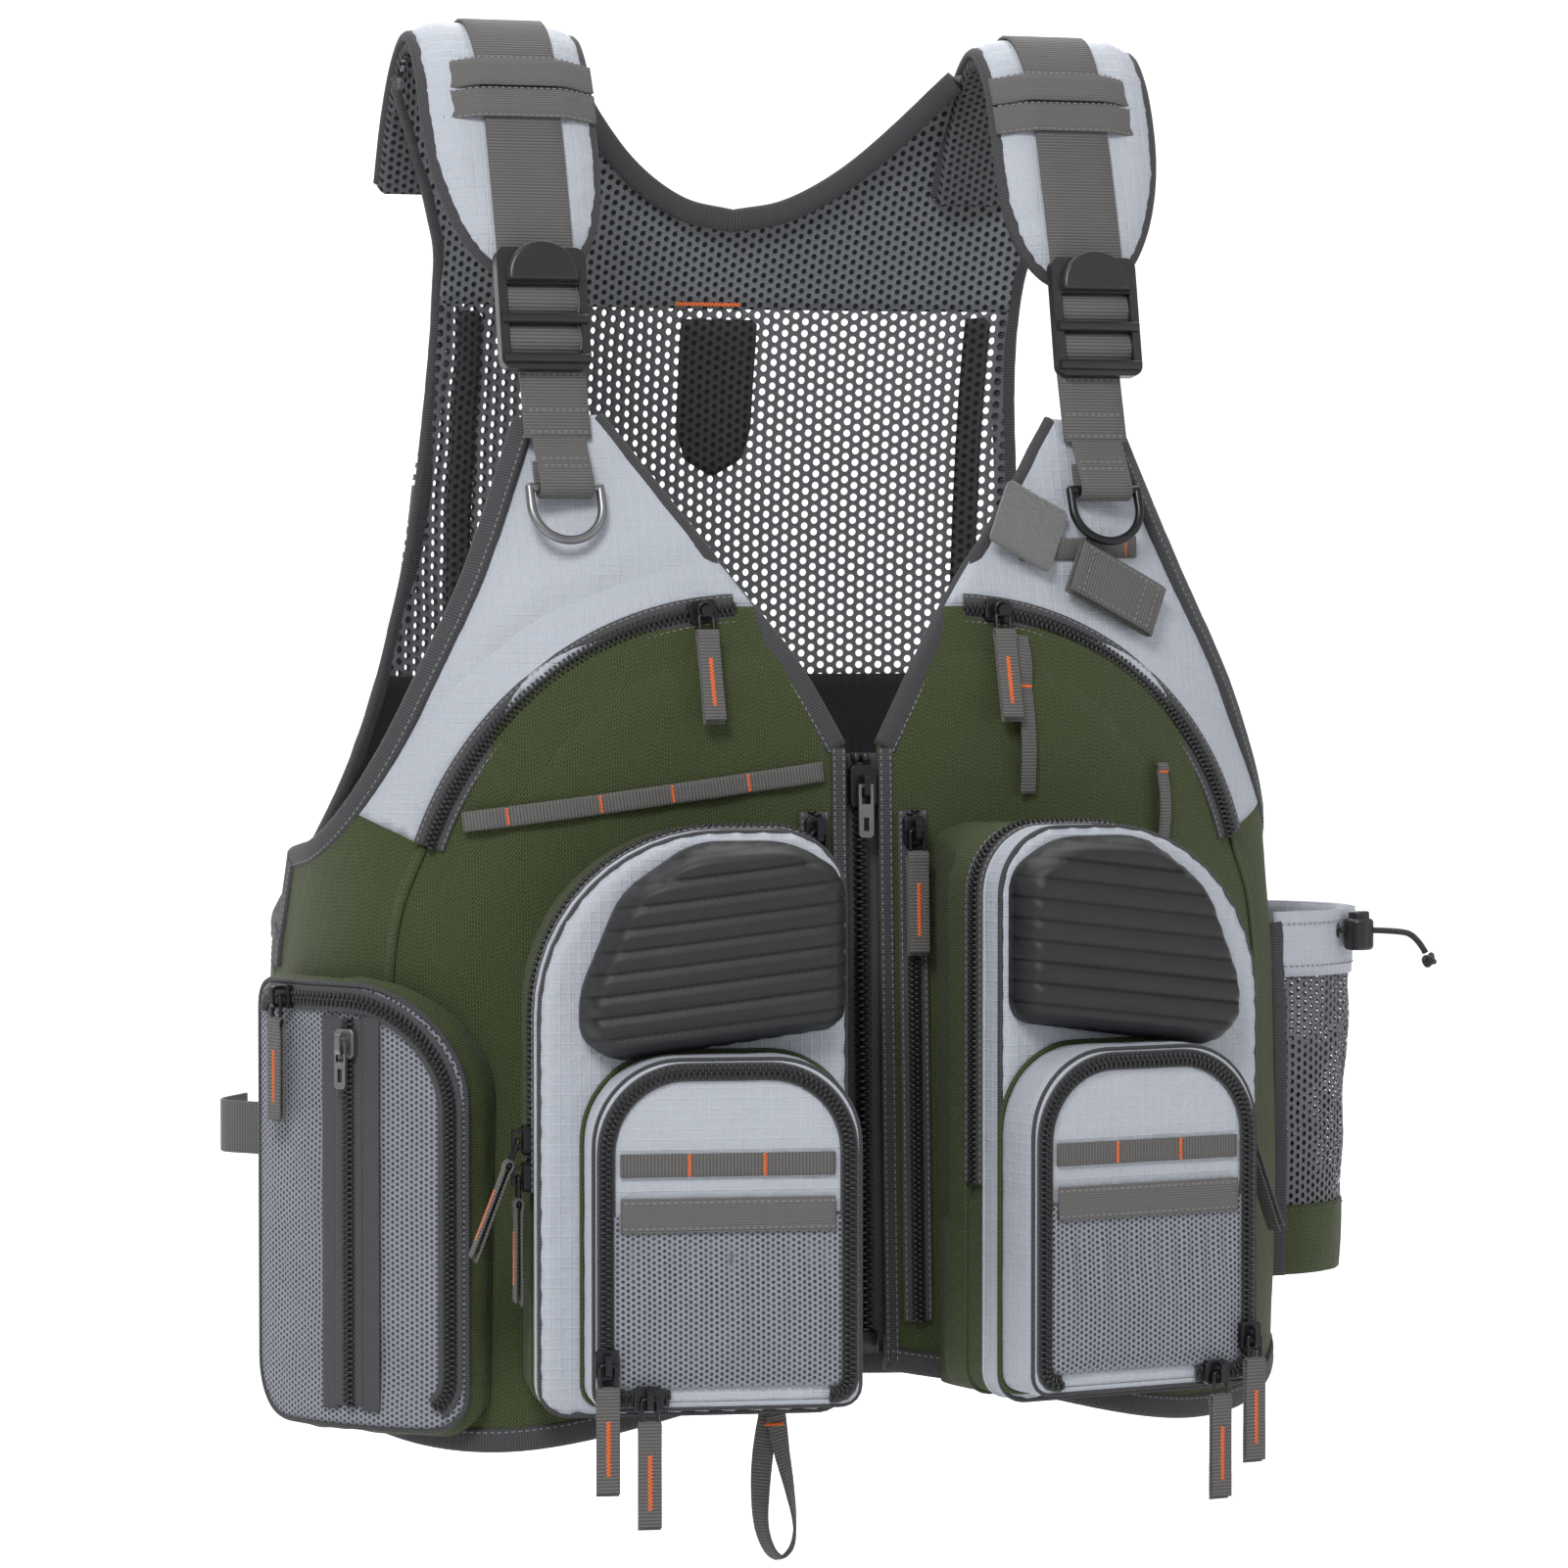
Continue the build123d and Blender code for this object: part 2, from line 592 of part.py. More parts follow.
def cargo_zip():
    """Coil and tape round the gusset, open towards the bottom."""
    bottom = CARGO_SLIDER_Z - END_SLIDER_GAP - 8
    w = CARGO_ZIP_W
    tape = ribbon_round(0.05, TAPE, w - TAPE_HALF, w + TAPE_HALF, bottom)
    coil = ribbon_round(TAPE, COIL_HEIGHT, w - COIL_HALF, w + COIL_HALF, bottom)
    return cargo_frame().location * (tape + coil)


def cargo_slider_frame(z):
    """On the outer gusset: X backwards across the coil, Y up, Z outwards."""
    local = Plane(origin=(CARGO_LIMITS[1], z, CARGO_ZIP_W), x_dir=(0, 0, -1), z_dir=(1, 0, 0))
    return Plane(cargo_frame().location * local.location)


# ---------------------------------------------------------------- small pockets and armour

def small_outline(inset=0.0):
    inner, outer = SMALL_LIMITS
    return rounded((inner + inset, outer - inset), (SMALL_BOTTOM + inset, SMALL_TOP - inset),
                   (SMALL_BOTTOM_RADIUS - inset / 2,) * 2 + (SMALL_TOP_RADIUS - inset / 2,) * 2)


SMALL_FACE = CARGO_DEPTH + SMALL_DEPTH


def small_pocket():
    shape = extrude(Pos(0, 0, CARGO_DEPTH + 0.1) * small_outline(), amount=SMALL_DEPTH - 0.1)
    shape = fillet(shape.edges().group_by(Axis.Z)[-1], 2.5)
    return cargo_frame().location * shape


def small_zip():
    """Coil and tape round the face's rim: up the outer side, over the top and down the inner side."""
    rings = []
    for half, low, high in ((COIL_HALF, 0.05, TAPE), (COIL_HALF - 0.2, TAPE, COIL_HEIGHT)):
        ring = small_outline(SMALL_ZIP_INSET - half) - small_outline(SMALL_ZIP_INSET + half)
        rings.append(extrude(Pos(0, 0, SMALL_FACE + low) * ring, amount=high - low))
    inner, outer = SMALL_LIMITS
    gap = block((inner + 16, outer - 34), (-900, SMALL_BOTTOM + 14), (0, 200))
    return cargo_frame().location * (rings[0] + rings[1] - gap)


def small_place(x, y):
    local = Plane(origin=(x, y, SMALL_FACE), x_dir=(1, 0, 0), z_dir=(0, 0, 1))
    return Plane(cargo_frame().location * local.location)


def small_slider_frame():
    return small_place(SMALL_LIMITS[1] - SMALL_ZIP_INSET, SMALL_SLIDER_Z)


def small_end_frame():
    """The second slider, lying along the bottom rim."""
    return small_place(SMALL_LIMITS[1] - 24, SMALL_BOTTOM + SMALL_ZIP_INSET)


def small_band(low, high, thickness):
    """A band across the small pocket's face, between its zips."""
    inner, outer = SMALL_LIMITS
    side, face = 2 * SMALL_ZIP_INSET, SMALL_FACE + 0.1
    return cargo_frame().location * block((inner + side, outer - side), (low, high), (face, face + thickness))


def eva_outline():
    """The armour's outline: sloping outer shoulder, rounded corners, lower edge falling outwards."""
    inner, outer = -EVA_HALF, EVA_HALF
    low = EVA_BOTTOM - EVA_DROP
    points = ((inner, EVA_BOTTOM), (outer - 14, low), (outer, low + 10), (outer, low + 30),
              (outer - 50, EVA_TOP), (inner + 24, EVA_TOP), (inner, EVA_TOP - 14))
    return fillet(make_face(Polyline(*points, close=True)).vertices(), 6)


def eva_shell():
    """A moulded foam cap with cross ribs, hollow behind."""
    low, high = CARGO_DEPTH + 0.1, CARGO_DEPTH + EVA_DEPTH
    cap = extrude(Pos(0, 0, low) * eva_outline(), amount=high - low)
    cap = fillet(cap.edges().group_by(Axis.Z)[-1], 5)
    slope = -math.degrees(math.atan2(EVA_DROP, 2 * EVA_HALF))
    for i in range(1, int((EVA_TOP - EVA_BOTTOM + EVA_DROP) / RIB_PITCH)):
        v = EVA_BOTTOM - EVA_DROP / 2 + RIB_PITCH * i
        groove = block((-EVA_HALF - 9, EVA_HALF + 9), (-0.9, 0.9), (high - 1.6, high + 5))
        cap -= Pos(0, v, 0) * Rot(0, 0, slope) * groove
    hollow = offset(eva_outline(), -4)
    cap -= extrude(Pos(0, 0, low - 1) * hollow, amount=high - low - 3.5)
    return cargo_frame().location * cap


# ---------------------------------------------------------------- side pocket

def side_frame():
    """The side pocket's middle: X towards the front, Y up, Z outwards."""
    angle = math.radians(SIDE_FACING)
    outward = Vector(math.cos(angle), math.sin(angle), 0)
    return Plane(origin=Vector(SIDE_AXIS[0], SIDE_AXIS[1], 0) + outward * SIDE_RADIUS,
                 x_dir=(-math.sin(angle), math.cos(angle), 0), z_dir=outward)


def side_outline(inset=0.0):
    half = SIDE_HALF - inset
    return rounded((-half, half), (SIDE_BOTTOM + inset, SIDE_TOP - inset),
                   (26 - inset / 2, 16, 52 - inset / 2, 12))


def side_cylinder(radius):
    return Pos(SIDE_AXIS[0], SIDE_AXIS[1], -520) * Cylinder(radius, 260)


def side_pocket():
    frame = side_frame().location
    prism_ = frame * extrude(Pos(0, 0, -70) * side_outline(), amount=90)
    return (side_cylinder(SIDE_RADIUS) & prism_) - body(PATCH_LEVEL)


SIDE_ZIP_INSET = 7


def side_zip_rim():
    """Coil and tape over the top and down the front edge of the side pocket."""
    frame = side_frame().location
    rings = []
    for half, low, high in ((5.5, 0.05, TAPE), (COIL_HALF, TAPE, COIL_HEIGHT)):
        ring = side_outline(SIDE_ZIP_INSET - half) - side_outline(SIDE_ZIP_INSET + half)
        tube = side_cylinder(SIDE_RADIUS + high) - side_cylinder(SIDE_RADIUS + low)
        rings.append(tube & (frame * extrude(Pos(0, 0, -70) * ring, amount=90)))
    cut = block((-100, -SIDE_HALF + 14), (-700, SIDE_TOP - 14), (-90, 90))
    cut += block((-100, SIDE_HALF - 14), (-700, SIDE_BOTTOM + 14), (-90, 90))
    return (rings[0] + rings[1]) - frame * cut


def side_slider_frame():
    """On the top run, which curves round the body: Y along the run, Z outwards."""
    angle = math.radians(SIDE_FACING - SIDE_SLIDER_TURN)
    outward = Vector(math.cos(angle), math.sin(angle), 0)
    origin = Vector(SIDE_AXIS[0], SIDE_AXIS[1], SIDE_TOP - SIDE_ZIP_INSET) + outward * SIDE_RADIUS
    return Plane(origin=origin, x_dir=(-math.sin(angle), math.cos(angle), 0), z_dir=outward)


def inner_zip_frame():
    """The straight zip down the middle of the side pocket's mesh."""
    angle = math.radians(SIDE_FACING + 3)
    outward = Vector(math.cos(angle), math.sin(angle), 0)
    origin = Vector(SIDE_AXIS[0], SIDE_AXIS[1], INNER_ZIP_TOP) + outward * (SIDE_RADIUS + 0.9)
    return Plane(origin=origin, x_dir=(-math.sin(angle), math.cos(angle), 0), z_dir=outward)


def inner_slider_frame():
    return Plane(inner_zip_frame().location * Pos(0, INNER_SLIDER_Z - INNER_ZIP_TOP, 0))


# ---------------------------------------------------------------- bottle pocket and its cord

def bottle_shape(shrink, low, high):
    faces = []
    for z in (low, high):
        part_up = (z - BOTTLE_BOTTOM) / (BOTTLE_TOP - BOTTLE_BOTTOM)
        taper = BOTTLE_TAPER + (1 - BOTTLE_TAPER) * part_up
        oval = Ellipse(BOTTLE_SIZE[0] * taper - shrink, BOTTLE_SIZE[1] * taper - shrink)
        faces.append(Pos(BOTTLE_CENTRE[0], BOTTLE_CENTRE[1], z) * oval)
    return loft(faces)


def cord_direction():
    a, b = CORD_POINTS[0], CORD_POINTS[1]
    return (Vector(*b) - Vector(*a)).normalized()


def bottle_pocket():
    """An open bag of mesh with a casing round its mouth, against the side of the vest."""
    outer = bottle_shape(0, BOTTLE_BOTTOM, BOTTLE_TOP)
    inner = bottle_shape(BOTTLE_WALL, BOTTLE_BOTTOM + BOTTLE_WALL, BOTTLE_TOP + 30)
    casing = bottle_shape(-1.2, BOTTLE_TOP - 30, BOTTLE_TOP) - bottle_shape(0.1, BOTTLE_TOP - 40, BOTTLE_TOP + 10)
    bag = (outer - inner + casing) - body(PATCH_LEVEL)
    bag &= block((150, 400), (-200, 200), (-700, 0))
    bag -= block((230, 250), (30, 70), (GIRTH_Z[0] - 1, GIRTH_Z[1] + 1))
    eyelet = Plane(origin=CORD_POINTS[0], z_dir=cord_direction())
    return bag - eyelet.location * Cylinder(2.4, 14)


def cord_path():
    points = [Vector(*p) for p in CORD_POINTS]
    radii = []
    for a, b, c in zip(points, points[1:], points[2:]):
        turn = math.radians((b - a).get_angle(c - b))
        radii.append(0.45 * min((b - a).length, (c - b).length) / math.tan(turn / 2))
    return FilletPolyline(*points, radius=radii), radii


def drawcord():
    path, radii = cord_path()
    start = Plane(origin=path @ 0, z_dir=path % 0)
    cord = sweep(start * Circle(CORD / 2), path=path)
    ideal = math.pi * (CORD / 2) ** 2 * path.length
    print("drawcord", round(path.length, 1), "mm; radii", [round(r, 1) for r in radii],
          "volume ratio", round(cord.volume / ideal, 4))
    return cord


def cord_knot():
    path, _ = cord_path()
    end, along = path @ 1, path % 1
    ball = Plane(origin=end + along * 3.9, z_dir=along).location * Sphere(4)
    return ball - drawcord_space(end, along)


def drawcord_space(end, along):
    """The cord's end, which the knot meets face to face."""
    return Plane(origin=end, z_dir=-along).location * Cylinder(
        CORD / 2 + 0.01, 20, align=(Align.CENTER, Align.CENTER, Align.MIN))


def lock_frame():
    """Cord lock: X along the cord, Z up the button."""
    along = cord_direction()
    middle = Vector(*CORD_POINTS[0]) + along * (LOCK_START + LOCK_RADIUS)
    return Plane(origin=middle, x_dir=along, z_dir=(0, 0, 1))


def cord_lock():
    """A barrel with a cross hole for the cord and a well for the button and its spring."""
    barrel = Pos(0, 0, -2) * Cylinder(LOCK_RADIUS, 15)
    barrel = fillet(barrel.edges().filter_by(GeomType.CIRCLE), 2)
    barrel -= Rot(0, 90, 0) * Cylinder(CORD / 2 + 0.5, 40)
    well = Pos(0, 0, WELL_FLOOR) * Cylinder(5.3, 20, align=(Align.CENTER, Align.CENTER, Align.MIN))
    return lock_frame().location * (barrel - well)


def cord_lock_button():
    """A plunger whose slot lets the cord through; pressing it frees the cord."""
    plunger = Pos(0, 0, -2.4) * Cylinder(5, 11.4, align=(Align.CENTER, Align.CENTER, Align.MIN))
    plunger = fillet(plunger.edges().group_by(Axis.Z)[-1], 1.2)
    slot = block((-8, 8), (-1.9, 1.9), (-1.9, 1.9 + BUTTON_TRAVEL))
    return lock_frame().location * (plunger - slot)


def cord_lock_spring():
    """The coil spring under the button."""
    turns = Helix(pitch=1.6, height=4.6, radius=3.9)
    start = Plane(origin=turns @ 0, z_dir=turns % 0)
    coil = sweep(start * Circle(0.35), path=turns, is_frenet=True)
    return lock_frame().location * (Pos(0, 0, WELL_FLOOR + 0.4) * coil)


# ---------------------------------------------------------------- webbing and tabs

def strip_outline(a, b, width):
    """A straight band between two places, drawn in X and Z."""
    length = math.dist(a, b)
    angle = math.degrees(math.atan2(b[1] - a[1], b[0] - a[0]))
    return Pos((a[0] + b[0]) / 2, (a[1] + b[1]) / 2) * (Rot(0, 0, angle) * Rectangle(length, width))


GEAR_LOOPS = (
    ((-182, -352), (-20, -330), 9),
    ((79, -272), (79, -342), 8.5),
    ((149, -330), (149, -366), 8.5),
    ((88, -231), (142, -229), 10),
)


def gear_webbing():
    level = PATCH_LEVEL
    strips = []
    for a, b, width in GEAR_LOOPS:
        strips.append(front_cloth(strip_outline(a, b, width), level, level + WEBBING))
    strips += both_sides(small_band(-500, -490, WEBBING))
    return solids_of(*strips)


TAB_ANGLE = -26
PATCH_MIDDLE = (89, -220)
FLAP_START = (110, -238)
FLAP_LENGTH = 48


def tab_frame(x, z, out):
    """A place on the left chest: X along the tab, Z outwards."""
    y = front_y(x, z, out)
    normal = Vector(0.2, -0.95, 0.24).normalized()
    along = Vector(math.cos(math.radians(TAB_ANGLE)), 0, math.sin(math.radians(TAB_ANGLE)))
    along = (along - normal * along.dot(normal)).normalized()
    return Plane(origin=(x, y, z), x_dir=along, z_dir=normal)


def rod_tab_patch():
    """A square of loop fastener on a doubled base."""
    pad = tab_frame(*PATCH_MIDDLE, PATCH_LEVEL + 4).location * block((-17, 17), (-16, 16), (0, 2.4))
    return pad


def rod_tab_flap():
    """A folded webbing strap that closes over a rod's handle."""
    strap = block((0, FLAP_LENGTH), (-TAB_WIDTH / 2, TAB_WIDTH / 2), (0, 2 * WEBBING + 1))
    strap = fillet(strap.edges().filter_by(Axis.Y).group_by(Axis.X)[-1], 1.8)
    return flap_frame().location * strap


def flap_frame():
    return tab_frame(*FLAP_START, PATCH_LEVEL + 4.5)


ROD_LOOP_X = -48
ROD_LOOP_TOP = HEM + 12
ROD_LOOP_LENGTH = 68


def rod_loop_frame():
    return Plane(origin=(ROD_LOOP_X, front_y(ROD_LOOP_X, ROD_LOOP_TOP, PATCH_LEVEL + 3), ROD_LOOP_TOP),
                 x_dir=(1, 0, 0), z_dir=(0, -1, 0))


def rod_loop():
    """A hanging loop of narrow webbing for a rod's butt, open in the middle."""
    length = ROD_LOOP_LENGTH
    outer = make_face(Polyline((-7, 0), (7, 0), (15, -length + 6), (9, -length), (-3, -length), (-9, -length + 8),
                               close=True))
    inner = make_face(Polyline((-1.5, -9), (1.5, -9), (8, -length + 11), (0, -length + 11), close=True))
    strap = extrude(Pos(0, 0, -0.9) * (outer - inner), amount=WEBBING)
    return rod_loop_frame().location * strap


GIRTH_Z = (-507, -482)
GIRTH_BOW = {"left": 0.5, "right": 16}


def girth_strap(bow):
    """A side strap, built on the left, that bows off the body from the side seam to the back."""
    points = ((241.6, 13), (240 + bow, 36), (237, 66))
    line = Spline(*points)
    outer = Spline(*[(x + WEBBING, y) for x, y in points])
    face = make_face([line, Line(line @ 1, outer @ 1), outer, Line(outer @ 0, line @ 0)])
    return extrude(Pos(0, 0, GIRTH_Z[0]) * face, amount=GIRTH_Z[1] - GIRTH_Z[0])


# ---------------------------------------------------------------- main and placket zips

def main_frame():
    return zip_frame(0, MAIN_TOP, MAIN_BOTTOM, 0)


def main_zip():
    """Two tapes behind the front edges and the closed row of moulded teeth."""
    length = MAIN_TOP - MAIN_BOTTOM
    tapes = block((-12, 12), (-length - 6, 6), (-2.5, -1.5))
    teeth = block((-3.4, 3.4), (-length, 0), (-1.5, 3.4))
    return main_frame().location * (tapes + teeth)


def main_slider_frame():
    return Plane(main_frame().location * Pos(0, MAIN_SLIDER_Z - MAIN_TOP, 0))


def main_slider():
    """A larger slider: the moulded teeth are wider and higher than a coil."""
    saddle = slider_body(half=6.2, length=19, coil=3.4, height=3.5)
    return main_slider_frame().location * (saddle + bridge(height=3.5, pivot=MAIN_PIVOT))


def main_pull_plane():
    return pull_plane(main_slider_frame(), pivot=MAIN_PIVOT)


def placket_frame():
    return zip_frame(PLACKET_X, PLACKET_TOP, PLACKET_BOTTOM)


def placket_slider_frame():
    return Plane(placket_frame().location * Pos(0, PLACKET_SLIDER_Z - PLACKET_TOP, 0))


# ---------------------------------------------------------------- assembly

def make_coil_zips(nodes):
    """All coil zips with the sliders that stay parked at their ends."""
    chest = chest_ring((-TAPE_HALF, TAPE_HALF), (-1.5, TAPE), CHEST_ARC)
    chest += chest_ring((-COIL_HALF, COIL_HALF), (TAPE, COIL_HEIGHT), CHEST_ARC)
    placket = placket_frame().location * straight_zip(PLACKET_TOP - PLACKET_BOTTOM)
    gusset_end = cargo_slider_frame(CARGO_SLIDER_Z - END_SLIDER_GAP).location * slider()
    rim_end = small_end_frame().location * (Rot(0, 0, 90) * slider_body() + bridge())
    pieces = []
    for piece in (chest, placket, cargo_zip(), gusset_end, small_zip(), rim_end):
        pieces += both_sides(piece)
    inner = inner_zip_frame().location * straight_zip(INNER_ZIP_TOP - INNER_ZIP_BOTTOM)
    nodes["coil_zips"] = solids_of(*pieces, side_zip_rim(), inner)


def moving_pairs():
    """The moving pieces that each side of the vest has."""
    placket, small, parked = placket_slider_frame(), small_slider_frame(), small_end_frame()
    lead, end = cargo_slider_frame(CARGO_SLIDER_Z), cargo_slider_frame(CARGO_SLIDER_Z - END_SLIDER_GAP)
    return {
        "chest_slider": chest_slider(),
        "chest_pull": chest_pull(),
        "placket_slider": placket.location * slider(),
        "placket_pull": pull_plane(placket).location * pull(),
        "cargo_slider": lead.location * slider(),
        "cargo_pull": pull_plane(lead, tilt=LEAD_TILT).location * pull(),
        "cargo_end_pull": pull_plane(end).location * pull(),
        "small_slider": small.location * slider(),
        "small_pull": pull_plane(small).location * pull(),
        "small_end_pull": pull_plane(parked).location * pull(),
        "ladder_lock": buckle_frame().location * ladder_lock(),
        "d_ring": d_ring(),
    }


def make_moving(nodes):
    for name, shape in moving_pairs().items():
        nodes[f"{name}_left"] = shape
        nodes[f"{name}_right"] = other_side(shape)
    nodes["d_ring_right"] = Pos(-2 * ANCHOR_X, 0, 0) * d_ring()
    top, inner = side_slider_frame(), inner_slider_frame()
    nodes["main_slider"] = main_slider()
    nodes["main_puller"] = main_pull_plane().location * metal_puller(23, 7)
    nodes["side_slider"] = top.location * (Rot(0, 0, 90) * slider_body() + bridge())
    nodes["side_pull"] = pull_plane(top).location * pull()
    nodes["side_inner_slider"] = inner.location * slider()
    nodes["side_inner_puller"] = pull_plane(inner).location * metal_puller(20, 6)
    nodes["rod_tab_flap"] = rod_tab_flap()
    nodes["rod_loop"] = rod_loop()
    nodes["cord_lock"] = cord_lock()
    nodes["cord_lock_button"] = cord_lock_button()


def make_pockets(nodes):
    cargo = cargo_pocket()
    nodes["cargo_pocket_left"] = cargo
    nodes["cargo_pocket_right"] = other_side(cargo)
    nodes["eva_shells"] = solids_of(*both_sides(eva_shell()))
    nodes["small_pockets"] = solids_of(*both_sides(small_pocket()))
    nodes["side_pocket"] = side_pocket()
    nodes["bottle_pocket"] = bottle_pocket()


def make_straps(nodes, keeper):
    elastic = small_band(-524, -509, 1.4)
    nodes["elastic_bands"] = solids_of(*both_sides(keeper), *both_sides(elastic))
    nodes["gear_webbing"] = gear_webbing()
    nodes["rod_tab_patch"] = rod_tab_patch()
    nodes["girth_straps"] = solids_of(girth_strap(GIRTH_BOW["left"]), other_side(girth_strap(GIRTH_BOW["right"])))


def build():
    nodes = {}
    make_front(nodes)
    make_back(nodes)
    make_bindings(nodes)
    keeper = make_shoulders(nodes)
    make_pockets(nodes)
    make_straps(nodes, keeper)
    nodes["main_zip"] = main_zip()
    make_coil_zips(nodes)
    make_moving(nodes)
    nodes["drawcord"] = drawcord()
    nodes["drawcord_knot"] = cord_knot()
    nodes["cord_lock_spring"] = cord_lock_spring()
    return nodes


def main():
    os.makedirs("parts", exist_ok=True)
    for name, shape in build().items():
        export_step(shape, f"parts/{name}.step")


if __name__ == "__main__":
    main()
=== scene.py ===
import bpy
import math
from mathutils import Matrix, Vector, kdtree, noise
from mathutils.geometry import delaunay_2d_cdt


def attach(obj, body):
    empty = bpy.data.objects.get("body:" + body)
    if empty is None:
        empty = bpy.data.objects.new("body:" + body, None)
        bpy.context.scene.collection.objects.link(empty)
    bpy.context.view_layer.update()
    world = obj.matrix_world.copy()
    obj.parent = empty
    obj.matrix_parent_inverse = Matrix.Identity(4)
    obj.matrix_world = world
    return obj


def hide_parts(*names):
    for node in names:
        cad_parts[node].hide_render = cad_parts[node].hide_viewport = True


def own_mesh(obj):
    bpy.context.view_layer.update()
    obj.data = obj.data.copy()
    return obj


# A fishing vest. Lengths are millimetres until a mesh is made; +X is the wearer's left, -Y the front.
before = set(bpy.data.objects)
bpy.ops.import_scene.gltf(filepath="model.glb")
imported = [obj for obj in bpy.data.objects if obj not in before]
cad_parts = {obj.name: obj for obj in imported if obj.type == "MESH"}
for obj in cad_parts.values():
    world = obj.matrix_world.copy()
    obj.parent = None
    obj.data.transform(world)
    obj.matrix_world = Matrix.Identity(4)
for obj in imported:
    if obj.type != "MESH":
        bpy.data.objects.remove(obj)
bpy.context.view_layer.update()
MM = 0.001

# ---------------------------------------------------------------- camera and cord

AZIMUTH, ELEVATION = math.radians(-19.6), math.radians(2)
CAMERA_DISTANCE = 2.8
VIEW_WIDTH = 0.7205         # metres across the picture at the target
TARGET = Vector((-0.012, -0.045, -0.338))


def make_camera():
    data = bpy.data.cameras.new("camera")
    data.sensor_width = 36
    data.lens = data.sensor_width * CAMERA_DISTANCE / VIEW_WIDTH
    camera = bpy.data.objects.new("camera", data)
    c = math.cos(ELEVATION)
    direction = Vector((math.sin(AZIMUTH) * c, -math.cos(AZIMUTH) * c, math.sin(ELEVATION)))
    camera.location = TARGET + direction * CAMERA_DISTANCE
    camera.rotation_euler = direction.to_track_quat("Z", "Y").to_euler()
    bpy.context.scene.collection.objects.link(camera)
    bpy.context.scene.camera = camera


make_camera()

CORD = 3
CORD_POINTS = ((270, -39.5, -411), (298, -48.6, -411), (306, -51, -414.5), (310, -52.2, -422))


def make_cord():
    curve = bpy.data.curves.new("drawcord_cord", "CURVE")
    curve.dimensions = "3D"
    spline = curve.splines.new("NURBS")
    spline.points.add(len(CORD_POINTS) - 1)
    for point, place in zip(spline.points, CORD_POINTS):
        point.co = (*(c * MM for c in place), 1)
        point.radius = CORD / 2 * MM
    spline.order_u = 3
    spline.use_endpoint_u = True
    spline.resolution_u = 12
    curve.bevel_depth = 1.0
    curve.bevel_resolution = 4
    curve.use_fill_caps = True
    obj = bpy.data.objects.new("drawcord_cord", curve)
    bpy.context.scene.collection.objects.link(obj)
    return obj


drawcord = make_cord()

# ---------------------------------------------------------------- the wearer's body

BODY_ROWS = (
    (0, 176, 6, 10), (-25, 182, 22, 34), (-70, 186, 42, 60), (-120, 190, 58, 80), (-200, 204, 82, 94),
    (-280, 222, 106, 100), (-320, 228, 112, 100), (-360, 232, 113.5, 100), (-450, 237, 116.9, 98),
    (-540, 237, 120.3, 96), (-640, 235, 124, 94), (-680, 235, 125.5, 93),
)
FULLNESS = 2.8
SEAM_Y = 10
HEM = -628
YOKE_SEAM = -115
LINING_TOP = -290
CLOTH = 2.5
PATCH_LEVEL = 3.8


def smooth_row(z):
    """Half width, front depth and back depth of the body at a height."""
    rows = BODY_ROWS
    i = max(k for k in range(len(rows) - 1) if rows[k][0] >= z or k == 0)
    low, high = rows[max(i - 1, 0)], rows[min(i + 2, len(rows) - 1)]
    a, b = rows[i], rows[i + 1]
    span = b[0] - a[0]
    t = (z - a[0]) / span
    out = []
    for k in (1, 2, 3):
        slope_a = (b[k] - low[k]) / (b[0] - low[0]) * span
        slope_b = (high[k] - a[k]) / (high[0] - a[0]) * span
        rise = b[k] - a[k]
        out.append(a[k] + t * slope_a + t * t * (3 * rise - 2 * slope_a - slope_b)
                   + t ** 3 * (slope_a + slope_b - 2 * rise))
    return out


def front_y(x, z, out=0.0):
    half, front, _ = smooth_row(z)
    return -(front + out) * max(0.0, 1 - (abs(x) / (half + out)) ** FULLNESS) ** (1 / FULLNESS)


def quarter(steps):
    """Places (a, b) with a**n + b**n == 1, evenly spread along a quarter of a superellipse."""
    corner = 0.5 ** (1 / FULLNESS)
    places = []
    for i in range(steps + 1):
        a = corner * i / steps
        places.append((a, (1 - a ** FULLNESS) ** (1 / FULLNESS)))
    for i in range(steps - 1, -1, -1):
        b = corner * i / steps
        places.append(((1 - b ** FULLNESS) ** (1 / FULLNESS), b))
    return places


FRONT_QUARTER = quarter(20)
TABLES = {}


def arc_table(z, back):
    """Arc length from the middle of the front or back to each place on that quarter."""
    key = (z, back)
    if key not in TABLES:
        half, front, rear = smooth_row(z)
        depth = rear if back else front
        total, rows, last = 0.0, [], None
        for a, b in FRONT_QUARTER:
            place = (a * half, b * depth)
            if last:
                total += math.dist(last, place)
            rows.append((total, a, b))
            last = place
        TABLES[key] = rows
    return TABLES[key]


def look_up(rows, value, column):
    """The row at which a growing column has a value, between two table rows."""
    low, high = 0, len(rows) - 1
    while high - low > 1:
        middle = (low + high) // 2
        if rows[middle][column] <= value:
            low = middle
        else:
            high = middle
    span = rows[high][column] - rows[low][column]
    t = (value - rows[low][column]) / span if span else 0
    return [p + (q - p) * t for p, q in zip(rows[low], rows[high])]


def arc_of(x, z, back=False):
    """Arc length of the place at x, for outlines that are drawn in X and Z."""
    rows = arc_table(round(z), back)
    half = smooth_row(z)[0]
    if abs(x) < half * 0.999:
        return look_up(rows, abs(x) / half, 1)[0]
    seam = SEAM_Y if not back else -SEAM_Y
    return rows[-1][0] + seam * min(1, (abs(x) - half * 0.999) / 20)


